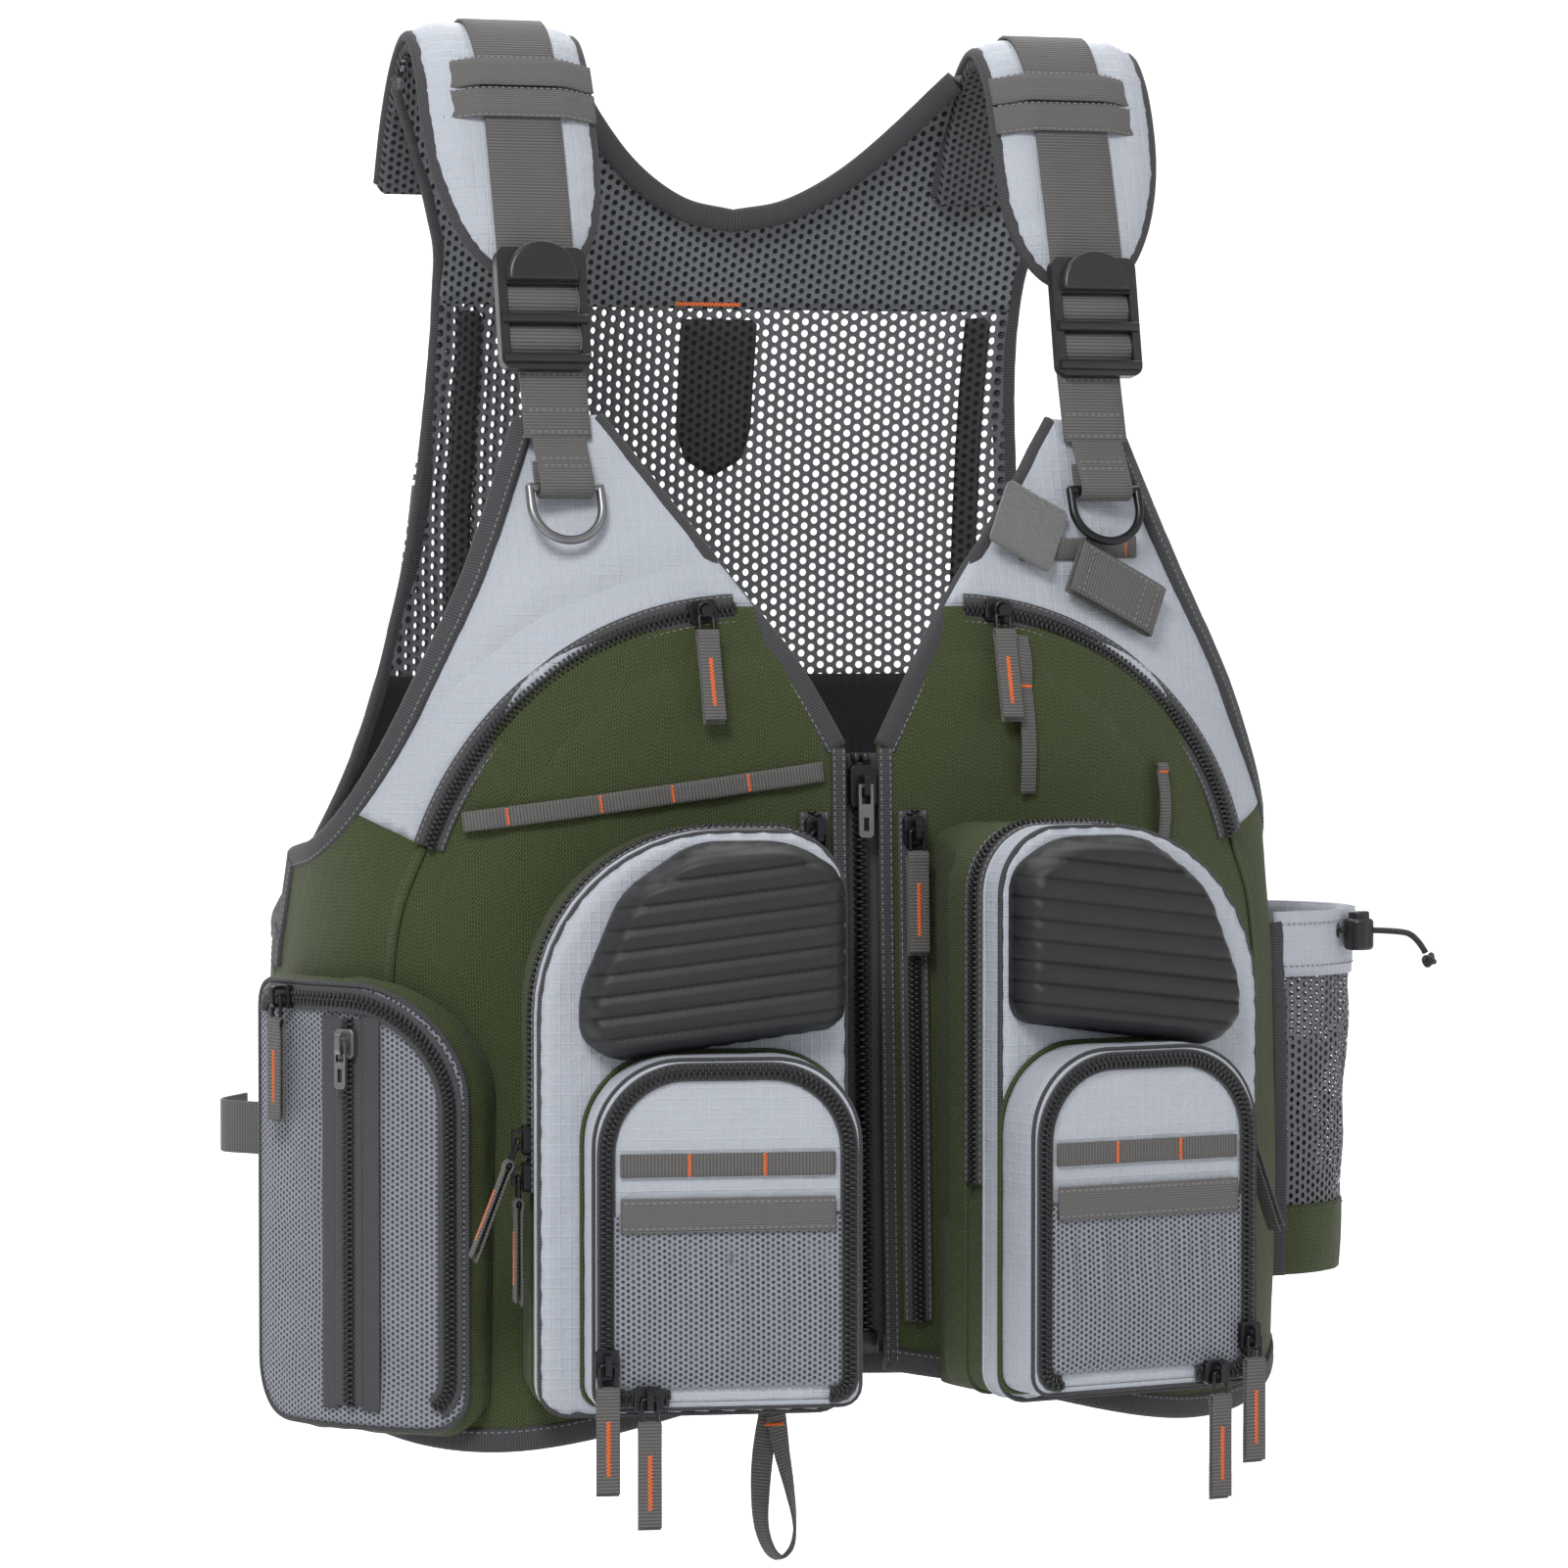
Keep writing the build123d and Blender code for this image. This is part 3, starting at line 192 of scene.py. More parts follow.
def body_point(s, z, out, back=False):
    """The place at an arc length from the middle, at a distance off the body."""
    half, front, rear = smooth_row(z)
    sign = 1 if s >= 0 else -1
    s = abs(s)
    rows = arc_table(round(z), back)
    depth = rear if back else front
    face = 1 if back else -1
    if s <= rows[-1][0]:
        _, a, b = look_up(rows, s, 0)
        return Vector((sign * (half + out) * a, face * (depth + out) * b, z))
    other = front if back else rear
    over = (s - rows[-1][0]) / other
    a = (1 - min(over, 1) ** FULLNESS) ** (1 / FULLNESS)
    return Vector((sign * (half + out) * a, -face * (other + out) * over, z))


CHEST_X, CHEST_Z, CHEST_SLOPE = 50, -406, 0.136
CHEST_CENTRE = Vector((CHEST_X, -131.7 - CHEST_SLOPE * CHEST_Z - CLOTH, CHEST_Z))
CHEST_TILT = math.atan(CHEST_SLOPE)
CHEST_RADIUS = 150
CHEST_LEAN = math.radians(18)
CHEST_ARC = (17, 88)
ZIP_SINK = 2.1                # the cloth lies this far behind the chest zip's plane


def wobble(x, y, z):
    """Smooth noise from about -1 to 1; the same on every run."""
    return noise.noise(Vector((x, y, z)))


def ramp(value, low, high):
    """0 below low, 1 above high, and a smooth rise between."""
    t = max(0.0, min(1.0, (value - low) / (high - low)))
    return t * t * (3 - 2 * t)


def chest_zip_gap(x, z):
    """The distance from a chest zip's arc, seen from the front."""
    return abs(math.dist((abs(x), z), (CHEST_X, CHEST_Z)) - CHEST_RADIUS)


def front_fold(x, z):
    """How far the front's cloth stands off its flat shape; nothing near the zips."""
    free = ramp(chest_zip_gap(x, z), 9, 26) * ramp(abs(x), 38, 60) * ramp(z, -625, -600)
    wide = wobble(x * 0.018, z * 0.011, 3.1)
    lean = wobble((x + 0.6 * z) * 0.045, (z - 0.5 * x) * 0.012, 9.4)
    return free * (1.1 * wide + 0.8 * lean)


def chest_zip_sink(x, z):
    """How far the cloth beside a chest zip moves to meet the zip's own plane."""
    away = chest_zip_gap(x, z)
    angle = math.degrees(math.atan2(z - CHEST_Z, abs(x) - CHEST_X))
    if away > 36 or not 2 < angle < 104:
        return 0.0
    start, end = CHEST_ARC
    a = math.radians(max(start, min(end, angle)))
    zip_x, zip_z = CHEST_X + CHEST_RADIUS * math.cos(a), CHEST_Z + CHEST_RADIUS * math.sin(a)
    plane_y = CHEST_CENTRE.y - CHEST_SLOPE * (zip_z - CHEST_Z)
    gap = plane_y + ZIP_SINK - front_y(zip_x, zip_z, CLOTH)
    near = (1 - ramp(away, 9, 34)) * (1 - ramp(start - angle, 0, 13)) * (1 - ramp(angle - end, 0, 13))
    return gap * near


def front_point(s, z, out):
    place = body_point(s, z, out)
    point = body_point(s, z, out + front_fold(place.x, z))
    point.y += chest_zip_sink(place.x, z)
    return point


def back_fold(x, z):
    low = 1.6 * wobble(x * 0.014, z * 0.012, 21.0)
    return low + 1.3 * wobble((x + z) * 0.03, (z - x) * 0.009, 5.0)


def back_point(s, z, out):
    return body_point(s, z, out + back_fold(s, z), back=True)


def normal_of(point, s, z, out=2.0):
    return (point(s, z, out + 2) - point(s, z, out)).normalized()


# ---------------------------------------------------------------- mesh tools

def add_object(name, points, faces, uvs, material, side=1):
    """A mesh object from millimetre points. uvs holds a list of (u, v) in millimetres for each face."""
    if side < 0:
        points = [(-p[0], p[1], p[2]) for p in points]
        faces = [tuple(reversed(f)) for f in faces]
        uvs = [tuple(reversed(u)) for u in uvs]
    mesh = bpy.data.meshes.new(name)
    mesh.from_pydata([(p[0] * MM, p[1] * MM, p[2] * MM) for p in points], [], faces)
    layer = mesh.uv_layers.new(name="weave")
    flat = [c for face in uvs for uv in face for c in (uv[0] * 0.01, uv[1] * 0.01)]
    layer.data.foreach_set("uv", flat)
    mesh.polygons.foreach_set("use_smooth", [True] * len(mesh.polygons))
    mesh.validate()
    obj = bpy.data.objects.new(name, mesh)
    bpy.context.scene.collection.objects.link(obj)
    obj.data.materials.append(material)
    return obj


def finish_piece(obj, body, slot, *nodes):
    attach(obj, body)
    if nodes:
        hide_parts(*nodes)
    return obj


def grid_piece(name, rows, material, side=1, closed=False, caps=False):
    """A surface through rows of points. closed joins each row's end to its start."""
    n, m = len(rows[0]), len(rows)
    points = [p for row in rows for p in row]
    middle = rows[m // 2]
    us = [0.0]
    for j in range(1, n + 1):
        us.append(us[-1] + (Vector(middle[j % n]) - Vector(middle[j - 1])).length)
    vs = [0.0]
    for i in range(1, m):
        vs.append(vs[-1] + (Vector(rows[i][n // 2]) - Vector(rows[i - 1][n // 2])).length)
    faces, uvs = [], []
    for i in range(m - 1):
        for j in range(n if closed else n - 1):
            k = (j + 1) % n
            faces.append((i * n + j, i * n + k, (i + 1) * n + k, (i + 1) * n + j))
            uvs.append(((us[j], vs[i]), (us[j + 1], vs[i]), (us[j + 1], vs[i + 1]), (us[j], vs[i + 1])))
    if caps:
        for i, order in ((0, -1), (m - 1, 1)):
            faces.append(tuple(i * n + j for j in range(n))[::order])
            uvs.append(tuple((us[j], vs[i]) for j in range(n))[::order])
    return add_object(name, points, faces, uvs, material, side)


def lengths_along(line):
    """The length of a line of places up to each of them."""
    lengths = [0.0]
    for a, b in zip(line, line[1:]):
        lengths.append(lengths[-1] + (b - a).length)
    return lengths


def curve_points(points, count):
    """Points along a smooth curve through a few places of any dimension."""
    places = [Vector(p) for p in points]
    lengths = lengths_along(places)
    out = []
    for i in range(count):
        at = lengths[-1] * i / (count - 1)
        k = max(j for j in range(len(places) - 1) if lengths[j] <= at + 1e-9)
        span = lengths[k + 1] - lengths[k]
        t = (at - lengths[k]) / span
        a, b = places[k], places[k + 1]
        before = places[k - 1] if k else a - (b - a)
        after = places[k + 2] if k + 2 < len(places) else b + (b - a)
        slope_a = (b - before) / (span + (a - before).length) * span
        slope_b = (after - a) / (span + (after - b).length) * span
        out.append(a + slope_a * t + (3 * (b - a) - 2 * slope_a - slope_b) * t * t
                   + (slope_a + slope_b - 2 * (b - a)) * t ** 3)
    return out


def resample(points, step, closed=False):
    """Points at an even step along a polyline."""
    line = [Vector(p) for p in points]
    if closed:
        line.append(line[0].copy())
    lengths = lengths_along(line)
    count = max(2, round(lengths[-1] / step))
    out, k = [], 0
    for i in range(count if closed else count + 1):
        at = lengths[-1] * i / count
        while k < len(line) - 2 and lengths[k + 1] < at:
            k += 1
        span = lengths[k + 1] - lengths[k]
        out.append(line[k].lerp(line[k + 1], (at - lengths[k]) / span if span else 0))
    return out


def tangents(path, closed=False):
    n = len(path)
    out = []
    for i in range(n):
        a = path[i - 1] if i or closed else path[0]
        b = path[(i + 1) % n] if i < n - 1 or closed else path[-1]
        out.append((b - a).normalized())
    return out


def beside(path, normals, off, out):
    """A line beside a path, off to its right and out along its normals."""
    return [p + t.cross(n).normalized() * off + n * out for p, t, n in zip(path, tangents(path), normals)]


def sweep(name, path, normals, section, material, side=1, closed=False):
    """A section of (across, up) places carried along a path."""
    rows = []
    for place, along, normal in zip(path, tangents(path, closed), normals):
        across = along.cross(normal).normalized()
        up = across.cross(along)
        rows.append([place + across * a + up * h for a, h in section])
    if closed:
        rows.append(rows[0])
    return grid_piece(name, rows, material, side, closed=True, caps=not closed)


def strap_section(width, thickness, low=0.0):
    """A woven strap: flat, with thin rolled edges."""
    h, t = width / 2, thickness
    return [(-h, low + 0.25 * t), (-h, low + 0.75 * t), (-h + 0.4, low + t), (-h / 2, low + t * 1.02),
            (0, low + t), (h / 2, low + t * 1.02), (h - 0.4, low + t), (h, low + 0.75 * t),
            (h, low + 0.25 * t), (h - 0.4, low), (0, low), (-h + 0.4, low)]


def inside(point, loop):
    x, y = point
    hit = False
    for (ax, ay), (bx, by) in zip(loop, loop[1:] + loop[:1]):
        if (ay > y) != (by > y) and x < (bx - ax) * (y - ay) / (by - ay) + ax:
            hit = not hit
    return hit


def tree_of(points):
    """A search tree of 3-D points, or of 2-D ones at height 0."""
    tree = kdtree.KDTree(len(points))
    for i, p in enumerate(points):
        tree.insert((*p, 0)[:3], i)
    tree.balance()
    return tree


def oval(width, height, step):
    """A section of half width and half height, with a point each step degrees."""
    turns = [math.radians(a) for a in range(0, 360, step)]
    return [(width * math.cos(a), height * math.sin(a)) for a in turns]


def round_corners(corners, radius):
    """Quarter circles of five points. corners holds a centre and a first angle for each."""
    points = []
    for x, y, start in corners:
        for k in range(5):
            a = math.radians(start + 22.5 * k)
            points.append((x + radius * math.cos(a), y + radius * math.sin(a)))
    return points


def open_run(loop, keep):
    """The indices of the stretch of a closed loop whose places pass a test, in order."""
    kept = [i for i, place in enumerate(loop) if keep(*place)]
    start = next(i for i in kept if (i - 1) % len(loop) not in kept)
    return [(start + k) % len(loop) for k in range(len(kept))]


def once(side, node):
    """The node that the left-hand piece replaces for both sides; none for the right-hand piece."""
    return [node] if side > 0 else []


def triangulate(loop, spacing, lines=(), turn=0.0, stretch=1.0):
    """Triangles that fill a flat outline. lines are extra edges; turn and stretch shape the inner lattice."""
    loop = [tuple(p) for p in resample(loop, spacing, closed=True)]
    loop = [(p[0], p[1]) for p in loop]
    extra, edges = [], []
    for line in lines:
        start = len(loop) + len(extra)
        line = [tuple(p)[:2] for p in resample(line, spacing)]
        extra += line
        edges += [(start + i, start + i + 1) for i in range(len(line) - 1)]
    tree = tree_of(loop + extra)
    c, s = math.cos(turn), math.sin(turn)
    xs, ys = [p[0] for p in loop], [p[1] for p in loop]
    reach = max(max(xs) - min(xs), max(ys) - min(ys))
    middle = ((max(xs) + min(xs)) / 2, (max(ys) + min(ys)) / 2)
    lattice = []
    across, up = spacing * stretch, spacing * 0.87
    for j in range(int(-reach / up), int(reach / up)):
        for i in range(int(-reach / across), int(reach / across)):
            u, v = (i + 0.5 * (j % 2)) * across, j * up
            p = (middle[0] + u * c - v * s, middle[1] + u * s + v * c)
            if min(xs) < p[0] < max(xs) and min(ys) < p[1] < max(ys):
                if tree.find((*p, 0))[2] > 0.55 * spacing and inside(p, loop):
                    lattice.append(p)
    face = [list(range(len(loop)))]
    flat = [Vector(p) for p in loop + extra + lattice]
    verts, _, faces = delaunay_2d_cdt(flat, edges, face, 1, 1e-4)[:3]
    return [tuple(v) for v in verts], [tuple(f) for f in faces]


def slab(name, flat, faces, top, bottom, material, side=1):
    """A sheet with thickness: top and bottom turn a flat place into a point."""
    used = sorted({i for f in faces for i in f})
    index = {v: k for k, v in enumerate(used)}
    faces = [tuple(index[i] for i in f) for f in faces]
    flat = [flat[i] for i in used]
    n = len(flat)
    points = [top(*p) for p in flat] + [bottom(*p) for p in flat]
    count = {}
    for f in faces:
        for a, b in zip(f, f[1:] + f[:1]):
            count[(a, b)] = count.get((a, b), 0) + 1
    rim = [(a, b) for a, b in count if (b, a) not in count]
    all_faces = list(faces) + [tuple(n + i for i in reversed(f)) for f in faces]
    uvs = [tuple(flat[i] for i in f) for f in faces] + [tuple(flat[i] for i in reversed(f)) for f in faces]
    for a, b in rim:
        all_faces.append((b, a, n + a, n + b))
        uvs.append((flat[b], flat[a], flat[a], flat[b]))
    obj = add_object(name, points, all_faces, uvs, material, side)
    return obj

# ---------------------------------------------------------------- materials

class Graph:
    """Short names for the nodes of one material. Pattern coordinates are millimetres."""

    def __init__(self, name, roughness, metallic=0.0, sheen=0.0, specular=0.5):
        self.material = bpy.data.materials.new(name)
        self.material.use_nodes = True
        self.tree = self.material.node_tree
        self.shader = self.tree.nodes["Principled BSDF"]
        self.shader.inputs["Roughness"].default_value = roughness
        self.shader.inputs["Metallic"].default_value = metallic
        self.shader.inputs["Sheen Weight"].default_value = sheen
        self.shader.inputs["Sheen Roughness"].default_value = 0.5
        self.shader.inputs["Specular IOR Level"].default_value = specular
        self.place = None

    def node(self, kind, **settings):
        node = self.tree.nodes.new(kind)
        for key, value in settings.items():
            setattr(node, key, value)
        return node

    def link(self, output, socket):
        self.tree.links.new(output, socket)

    def weave_uv(self):
        """U and V along the cloth, in millimetres."""
        uv = self.node("ShaderNodeUVMap", uv_map="weave")
        grow = self.node("ShaderNodeVectorMath", operation="SCALE")
        grow.inputs["Scale"].default_value = 100.0
        self.link(uv.outputs[0], grow.inputs[0])
        split = self.node("ShaderNodeSeparateXYZ")
        self.link(grow.outputs[0], split.inputs[0])
        return grow.outputs[0], split.outputs[0], split.outputs[1]

    def object_mm(self):
        coordinates = self.node("ShaderNodeTexCoord")
        grow = self.node("ShaderNodeVectorMath", operation="SCALE")
        grow.inputs["Scale"].default_value = 1000.0
        self.link(coordinates.outputs["Object"], grow.inputs[0])
        return grow.outputs[0]

    def math(self, operation, a, b=None, c=None):
        node = self.node("ShaderNodeMath", operation=operation)
        for k, value in enumerate((a, b, c)):
            if value is None:
                continue
            if isinstance(value, (int, float)):
                node.inputs[k].default_value = value
            else:
                self.link(value, node.inputs[k])
        return node.outputs[0]

    def wave(self, value, pitch, shift=0.0):
        """A cosine from 0 to 1 with a pitch in millimetres."""
        turned = self.math("MULTIPLY_ADD", value, 2 * math.pi / pitch, shift)
        return self.math("MULTIPLY_ADD", self.math("COSINE", turned), 0.5, 0.5)

    def noise(self, vector, size, detail=3.0, roughness=0.55):
        node = self.node("ShaderNodeTexNoise")
        node.inputs["Scale"].default_value = 1.0 / size
        node.inputs["Detail"].default_value = detail
        node.inputs["Roughness"].default_value = roughness
        self.link(vector, node.inputs["Vector"])
        return node.outputs["Fac"]

    def ramp(self, value, *stops):
        """Colours at places from 0 to 1."""
        node = self.node("ShaderNodeValToRGB")
        elements = node.color_ramp.elements
        while len(elements) < len(stops):
            elements.new(0.5)
        for element, (at, colour) in zip(elements, stops):
            element.position = at
            element.color = (*colour, 1)
        self.link(value, node.inputs[0])
        return node.outputs[0]

    def mix(self, factor, a, b):
        node = self.node("ShaderNodeMix", data_type="RGBA")
        for socket, value in ((node.inputs[0], factor), (node.inputs[6], a), (node.inputs[7], b)):
            if isinstance(value, tuple):
                socket.default_value = (*value, 1)
            elif isinstance(value, (int, float)):
                socket.default_value = value
            else:
                self.link(value, socket)
        return node.outputs[2]

    def finish(self, colour, height=None, distance=0.0003, alpha=None):
        self.link(colour, self.shader.inputs["Base Color"])
        if height is not None:
            bump = self.node("ShaderNodeBump")
            bump.inputs["Distance"].default_value = distance
            self.link(height, bump.inputs["Height"])
            self.link(bump.outputs[0], self.shader.inputs["Normal"])
        if alpha is not None:
            self.link(alpha, self.shader.inputs["Alpha"])
        return self.material


def scaled(colour, factor):
    return tuple(min(1.0, c * factor) for c in colour)


def oxford(name, colour, pitch=1.25):
    """Coarse basket weave, with each yarn crossing shaded."""
    g = Graph(name, 0.66, sheen=0.08, specular=0.2)
    vector, u, v = g.weave_uv()
    warp, weft = g.wave(u, pitch * 0.55), g.wave(v, pitch * 0.8)
    zigzag = g.math("ABSOLUTE", g.math("SUBTRACT", g.math("FRACT", g.math("DIVIDE", u, pitch * 7)), 0.5))
    twill = g.wave(g.math("ADD", v, g.math("MULTIPLY", zigzag, pitch * 9)), pitch * 0.9)
    check = g.math("ABSOLUTE", g.math("SUBTRACT", warp, weft))
    flat, raised = g.math("MULTIPLY", check, 0.45), g.math("MULTIPLY", g.math("MAXIMUM", warp, twill), 0.55)
    over = g.math("ADD", flat, raised)
    cloud = g.noise(vector, 22, 4)
    yarn = g.noise(vector, 1.6, 2)
    base = g.ramp(over, (0.2, scaled(colour, 0.22)), (0.55, scaled(colour, 0.9)), (0.95, scaled(colour, 2.5)))
    worn = g.mix(g.math("MULTIPLY", cloud, 0.35), base, scaled(colour, 1.35))
    flecked = g.mix(g.math("MULTIPLY", yarn, 0.35), worn, scaled(colour, 0.55))
    height = g.math("ADD", over, g.math("MULTIPLY", yarn, 0.3))
    return g.finish(flecked, height, 0.0005)


def ripstop(name, colour):
    """Fine plain weave with a raised grid of thicker yarns."""
    g = Graph(name, 0.5, sheen=0.1, specular=0.4)
    vector, u, v = g.weave_uv()
    fine = g.math("MULTIPLY", g.wave(u, 0.55), g.wave(v, 0.55))
    lines = g.math("MAXIMUM", g.math("POWER", g.wave(u, 4.4), 26.0), g.math("POWER", g.wave(v, 4.4), 26.0))
    cloud = g.noise(vector, 30, 4)
    base = g.ramp(fine, (0.0, scaled(colour, 0.82)), (0.6, colour), (1.0, scaled(colour, 1.08)))
    grid = g.mix(g.math("MULTIPLY", lines, 0.55), base, scaled(colour, 1.3))
    soft = g.mix(g.math("MULTIPLY", cloud, 0.25), grid, scaled(colour, 0.8))
    crinkle = g.math("MULTIPLY", g.noise(vector, 9, 5, 0.6), 5.0)
    height = g.math("ADD", g.math("ADD", g.math("MULTIPLY", fine, 0.3), lines), crinkle)
    return g.finish(soft, height, 0.00022)


def ribbed(name, colour, pitch=1.7, along="v", depth=0.0003):
    """Webbing or grosgrain: ribs across the strap, with yarn flecks."""
    g = Graph(name, 0.7, sheen=0.08, specular=0.2)
    vector, u, v = g.weave_uv()
    run, cross = (v, u) if along == "v" else (u, v)
    rib = g.wave(run, pitch)
    yarn = g.wave(cross, 0.9)
    grain = g.noise(vector, 0.8, 3)
    mixed = g.math("ADD", g.math("MULTIPLY", rib, 0.7), g.math("MULTIPLY", yarn, 0.3))
    base = g.ramp(mixed, (0.05, scaled(colour, 0.45)), (0.5, colour), (1.0, scaled(colour, 1.4)))
    fleck = g.mix(g.math("MULTIPLY", grain, 0.4), base, scaled(colour, 0.7))
    return g.finish(fleck, g.math("ADD", mixed, g.math("MULTIPLY", grain, 0.25)), depth)


def hex_holes(g, u, v, pitch):
    """1 in the middle of each hole of a hexagonal net, 0 on its threads."""
    total = None
    for angle in (0, 60, 120):
        a = math.radians(angle)
        turned = g.math("ADD", g.math("MULTIPLY", u, math.cos(a)), g.math("MULTIPLY", v, math.sin(a)))
        w = g.wave(turned, pitch * 0.866)
        total = w if total is None else g.math("ADD", total, w)
    return g.math("DIVIDE", total, 3.0)


def net(name, thread, hole=None, pitch=3.0, cut=0.5, solid=0.0):
    """An open net. With a hole colour it is a spacer mesh; without one its holes are open."""
    g = Graph(name, 0.66, sheen=0.06, specular=0.2)
    vector, u, v = g.weave_uv()
    openness = hex_holes(g, u, v, pitch)
    edge = g.node("ShaderNodeMapRange", interpolation_type="SMOOTHSTEP")
    edge.inputs[1].default_value = cut - 0.06
    edge.inputs[2].default_value = cut + 0.06
    g.link(openness, edge.inputs[0])
    fibre = g.noise(vector, 0.5, 3)
    cloud = g.noise(vector, 25, 3)
    strand = g.mix(g.math("MULTIPLY", fibre, 0.5), thread, scaled(thread, 0.45))
    strand = g.mix(g.math("MULTIPLY", cloud, 0.3), strand, scaled(thread, 1.5))
    height = g.math("SUBTRACT", 1.0, openness)
    if hole is None:
        alpha = g.math("SUBTRACT", 1.0, g.math("MULTIPLY", edge.outputs[0], 1.0 - solid))
        return g.finish(strand, height, 0.0005, alpha=alpha)
    return g.finish(g.mix(edge.outputs[0], strand, hole), height, 0.0009)


def moulded(name, colour, roughness, grain=0.35, depth=0.00006, metallic=0.0):
    """Moulded plastic, foam or cast metal: fine grain, with duller and brighter patches."""
    g = Graph(name, roughness, metallic)
    vector = g.object_mm()
    fine, wide = g.noise(vector, grain, 3), g.noise(vector, 14, 3)
    tone = g.mix(wide, scaled(colour, 0.8), scaled(colour, 1.3))
    return g.finish(tone, fine, depth)


def foam(name, colour):
    """Moulded foam with painted shade darkening the grooves between the ribs."""
    g = Graph(name, 0.47, specular=0.4)
    vector, u, v = g.weave_uv()
    slope = -math.atan2(EVA_DROP, 2 * EVA_HALF)
    run = g.math("ADD", g.math("MULTIPLY", v, math.cos(slope)), g.math("MULTIPLY", u, -math.sin(slope)))
    shift = -(EVA_BOTTOM - EVA_DROP / 2) * math.cos(slope)
    # painted shade: the colour is darkened to near black in the grooves between the ribs
    painted_groove_shade = g.math("POWER", g.wave(run, RIB_PITCH, shift * 2 * math.pi / RIB_PITCH), 16.0)
    grain, wide = g.noise(vector, 0.45, 3), g.noise(vector, 14, 3)
    tone = g.mix(wide, scaled(colour, 0.8), scaled(colour, 1.35))
    tone = g.mix(g.math("MULTIPLY", painted_groove_shade, 0.95), tone, scaled(colour, 0.1))
    return g.finish(tone, grain, 0.00014)


def thread(name, colour):
    g = Graph(name, 0.5, sheen=0.2)
    vector = g.object_mm()
    twist = g.noise(vector, 0.35, 2)
    return g.finish(g.ramp(twist, (0.3, scaled(colour, 0.6)), (0.7, scaled(colour, 1.2))), twist, 0.0001)


def fuzzy(name, colour):
    g = Graph(name, 0.9, sheen=0.5, specular=0.2)
    vector = g.weave_uv()[0]
    loops, clumps = g.noise(vector, 0.7, 4, 0.7), g.noise(vector, 5, 3)
    tone = g.ramp(loops, (0.3, scaled(colour, 0.5)), (0.7, scaled(colour, 1.25)))
    return g.finish(g.mix(g.math("MULTIPLY", clumps, 0.5), tone, colour), loops, 0.0008)


def braided(name, colour):
    g = Graph(name, 0.6, sheen=0.2)
    vector = g.object_mm()
    wave = g.node("ShaderNodeTexVoronoi")
    wave.inputs["Scale"].default_value = 1.1
    g.link(vector, wave.inputs["Vector"])
    tone = g.ramp(wave.outputs["Distance"], (0.1, scaled(colour, 2.2)), (0.7, scaled(colour, 0.5)))
    return g.finish(tone, g.math("SUBTRACT", 1.0, wave.outputs["Distance"]), 0.0004)


EVA_TOP, EVA_BOTTOM, EVA_HALF, EVA_DROP, EVA_DEPTH, RIB_PITCH = -357, -438, 58, 14, 20, 9.2
OLIVE = (0.047, 0.061, 0.022)
PALE = (0.47, 0.50, 0.56)
GREY = (0.125, 0.121, 0.118)
M = {
    "olive": oxford("olive_oxford", OLIVE, 2.3),
    "pale": ripstop("grey_ripstop", PALE),
    "spacer": net("spacer_mesh", (0.17, 0.18, 0.19), hole=(0.012, 0.012, 0.014), pitch=4.6, cut=0.60),
    "pad_mesh": net("pad_mesh", (0.10, 0.10, 0.11), hole=(0.01, 0.01, 0.011), pitch=4.2, cut=0.60),
    "net": net("back_net", (0.115, 0.12, 0.13), pitch=5.6, cut=0.55),
    # dark net for the stays; on the hanger patch the same near-black colour is painted shadow
    "dark_net_and_shadow": net("dark_net_and_shadow", (0.04, 0.04, 0.043), hole=(0.006, 0.006, 0.007), pitch=4.6, cut=0.6),
    "pocket_net": net("pocket_net", (0.25, 0.265, 0.30), pitch=2.6, cut=0.58, solid=0.1),
    "bag_net": net("bag_net", (0.13, 0.135, 0.15), pitch=4.2, cut=0.52),
    "under_net": oxford("net_lining", (0.17, 0.19, 0.23), 0.7),
    "lining": oxford("black_lining", (0.013, 0.013, 0.015), 0.8),
    "webbing": ribbed("grey_webbing", GREY, 1.5),
    "binding": ribbed("grey_binding", (0.062, 0.062, 0.068), 1.3, depth=0.00025),
    "tape": ribbed("zip_tape", (0.07, 0.07, 0.075), 0.8, depth=0.00012),
    "elastic": ribbed("grey_elastic", (0.135, 0.13, 0.128), 1.1, "u", depth=0.0002),
    "coil": moulded("zip_coil", (0.012, 0.012, 0.014), 0.42),
    "plastic": moulded("black_plastic", (0.016, 0.016, 0.017), 0.36, 0.5, 0.00003),
    "foam": foam("ribbed_foam", (0.017, 0.017, 0.019)),
    "steel": moulded("gunmetal", (0.22, 0.22, 0.23), 0.38, 0.6, 0.00003, metallic=0.9),
    "enamel": moulded("black_enamel", (0.03, 0.03, 0.033), 0.32, 0.6, 0.00002, metallic=0.75),
    "orange": thread("orange_thread", (0.85, 0.16, 0.02)),
    "grey_thread": thread("grey_thread", (0.20, 0.20, 0.21)),
    "olive_thread": thread("olive_thread", (0.07, 0.085, 0.035)),
    "fuzzy": fuzzy("loop_fastener", (0.17, 0.17, 0.175)),
    "cord": braided("braided_cord", (0.014, 0.014, 0.015)),
}

# ---------------------------------------------------------------- trims

THREADS = {"orange_thread": "orange", "grey_thread": "grey_thread", "olive_thread": "olive_thread"}
SEWN = {}
STITCH_PITCH, STITCH_LENGTH, STITCH_WIDTH, STITCH_HEIGHT = 3.1, 2.3, 0.65, 0.35
BAR_THREAD, BAR_HEIGHT = 0.8, 0.65


STITCH_FACES = ((0, 6, 1), (1, 6, 7, 2), (2, 7, 3), (3, 7, 4), (4, 7, 6, 5), (5, 6, 0))


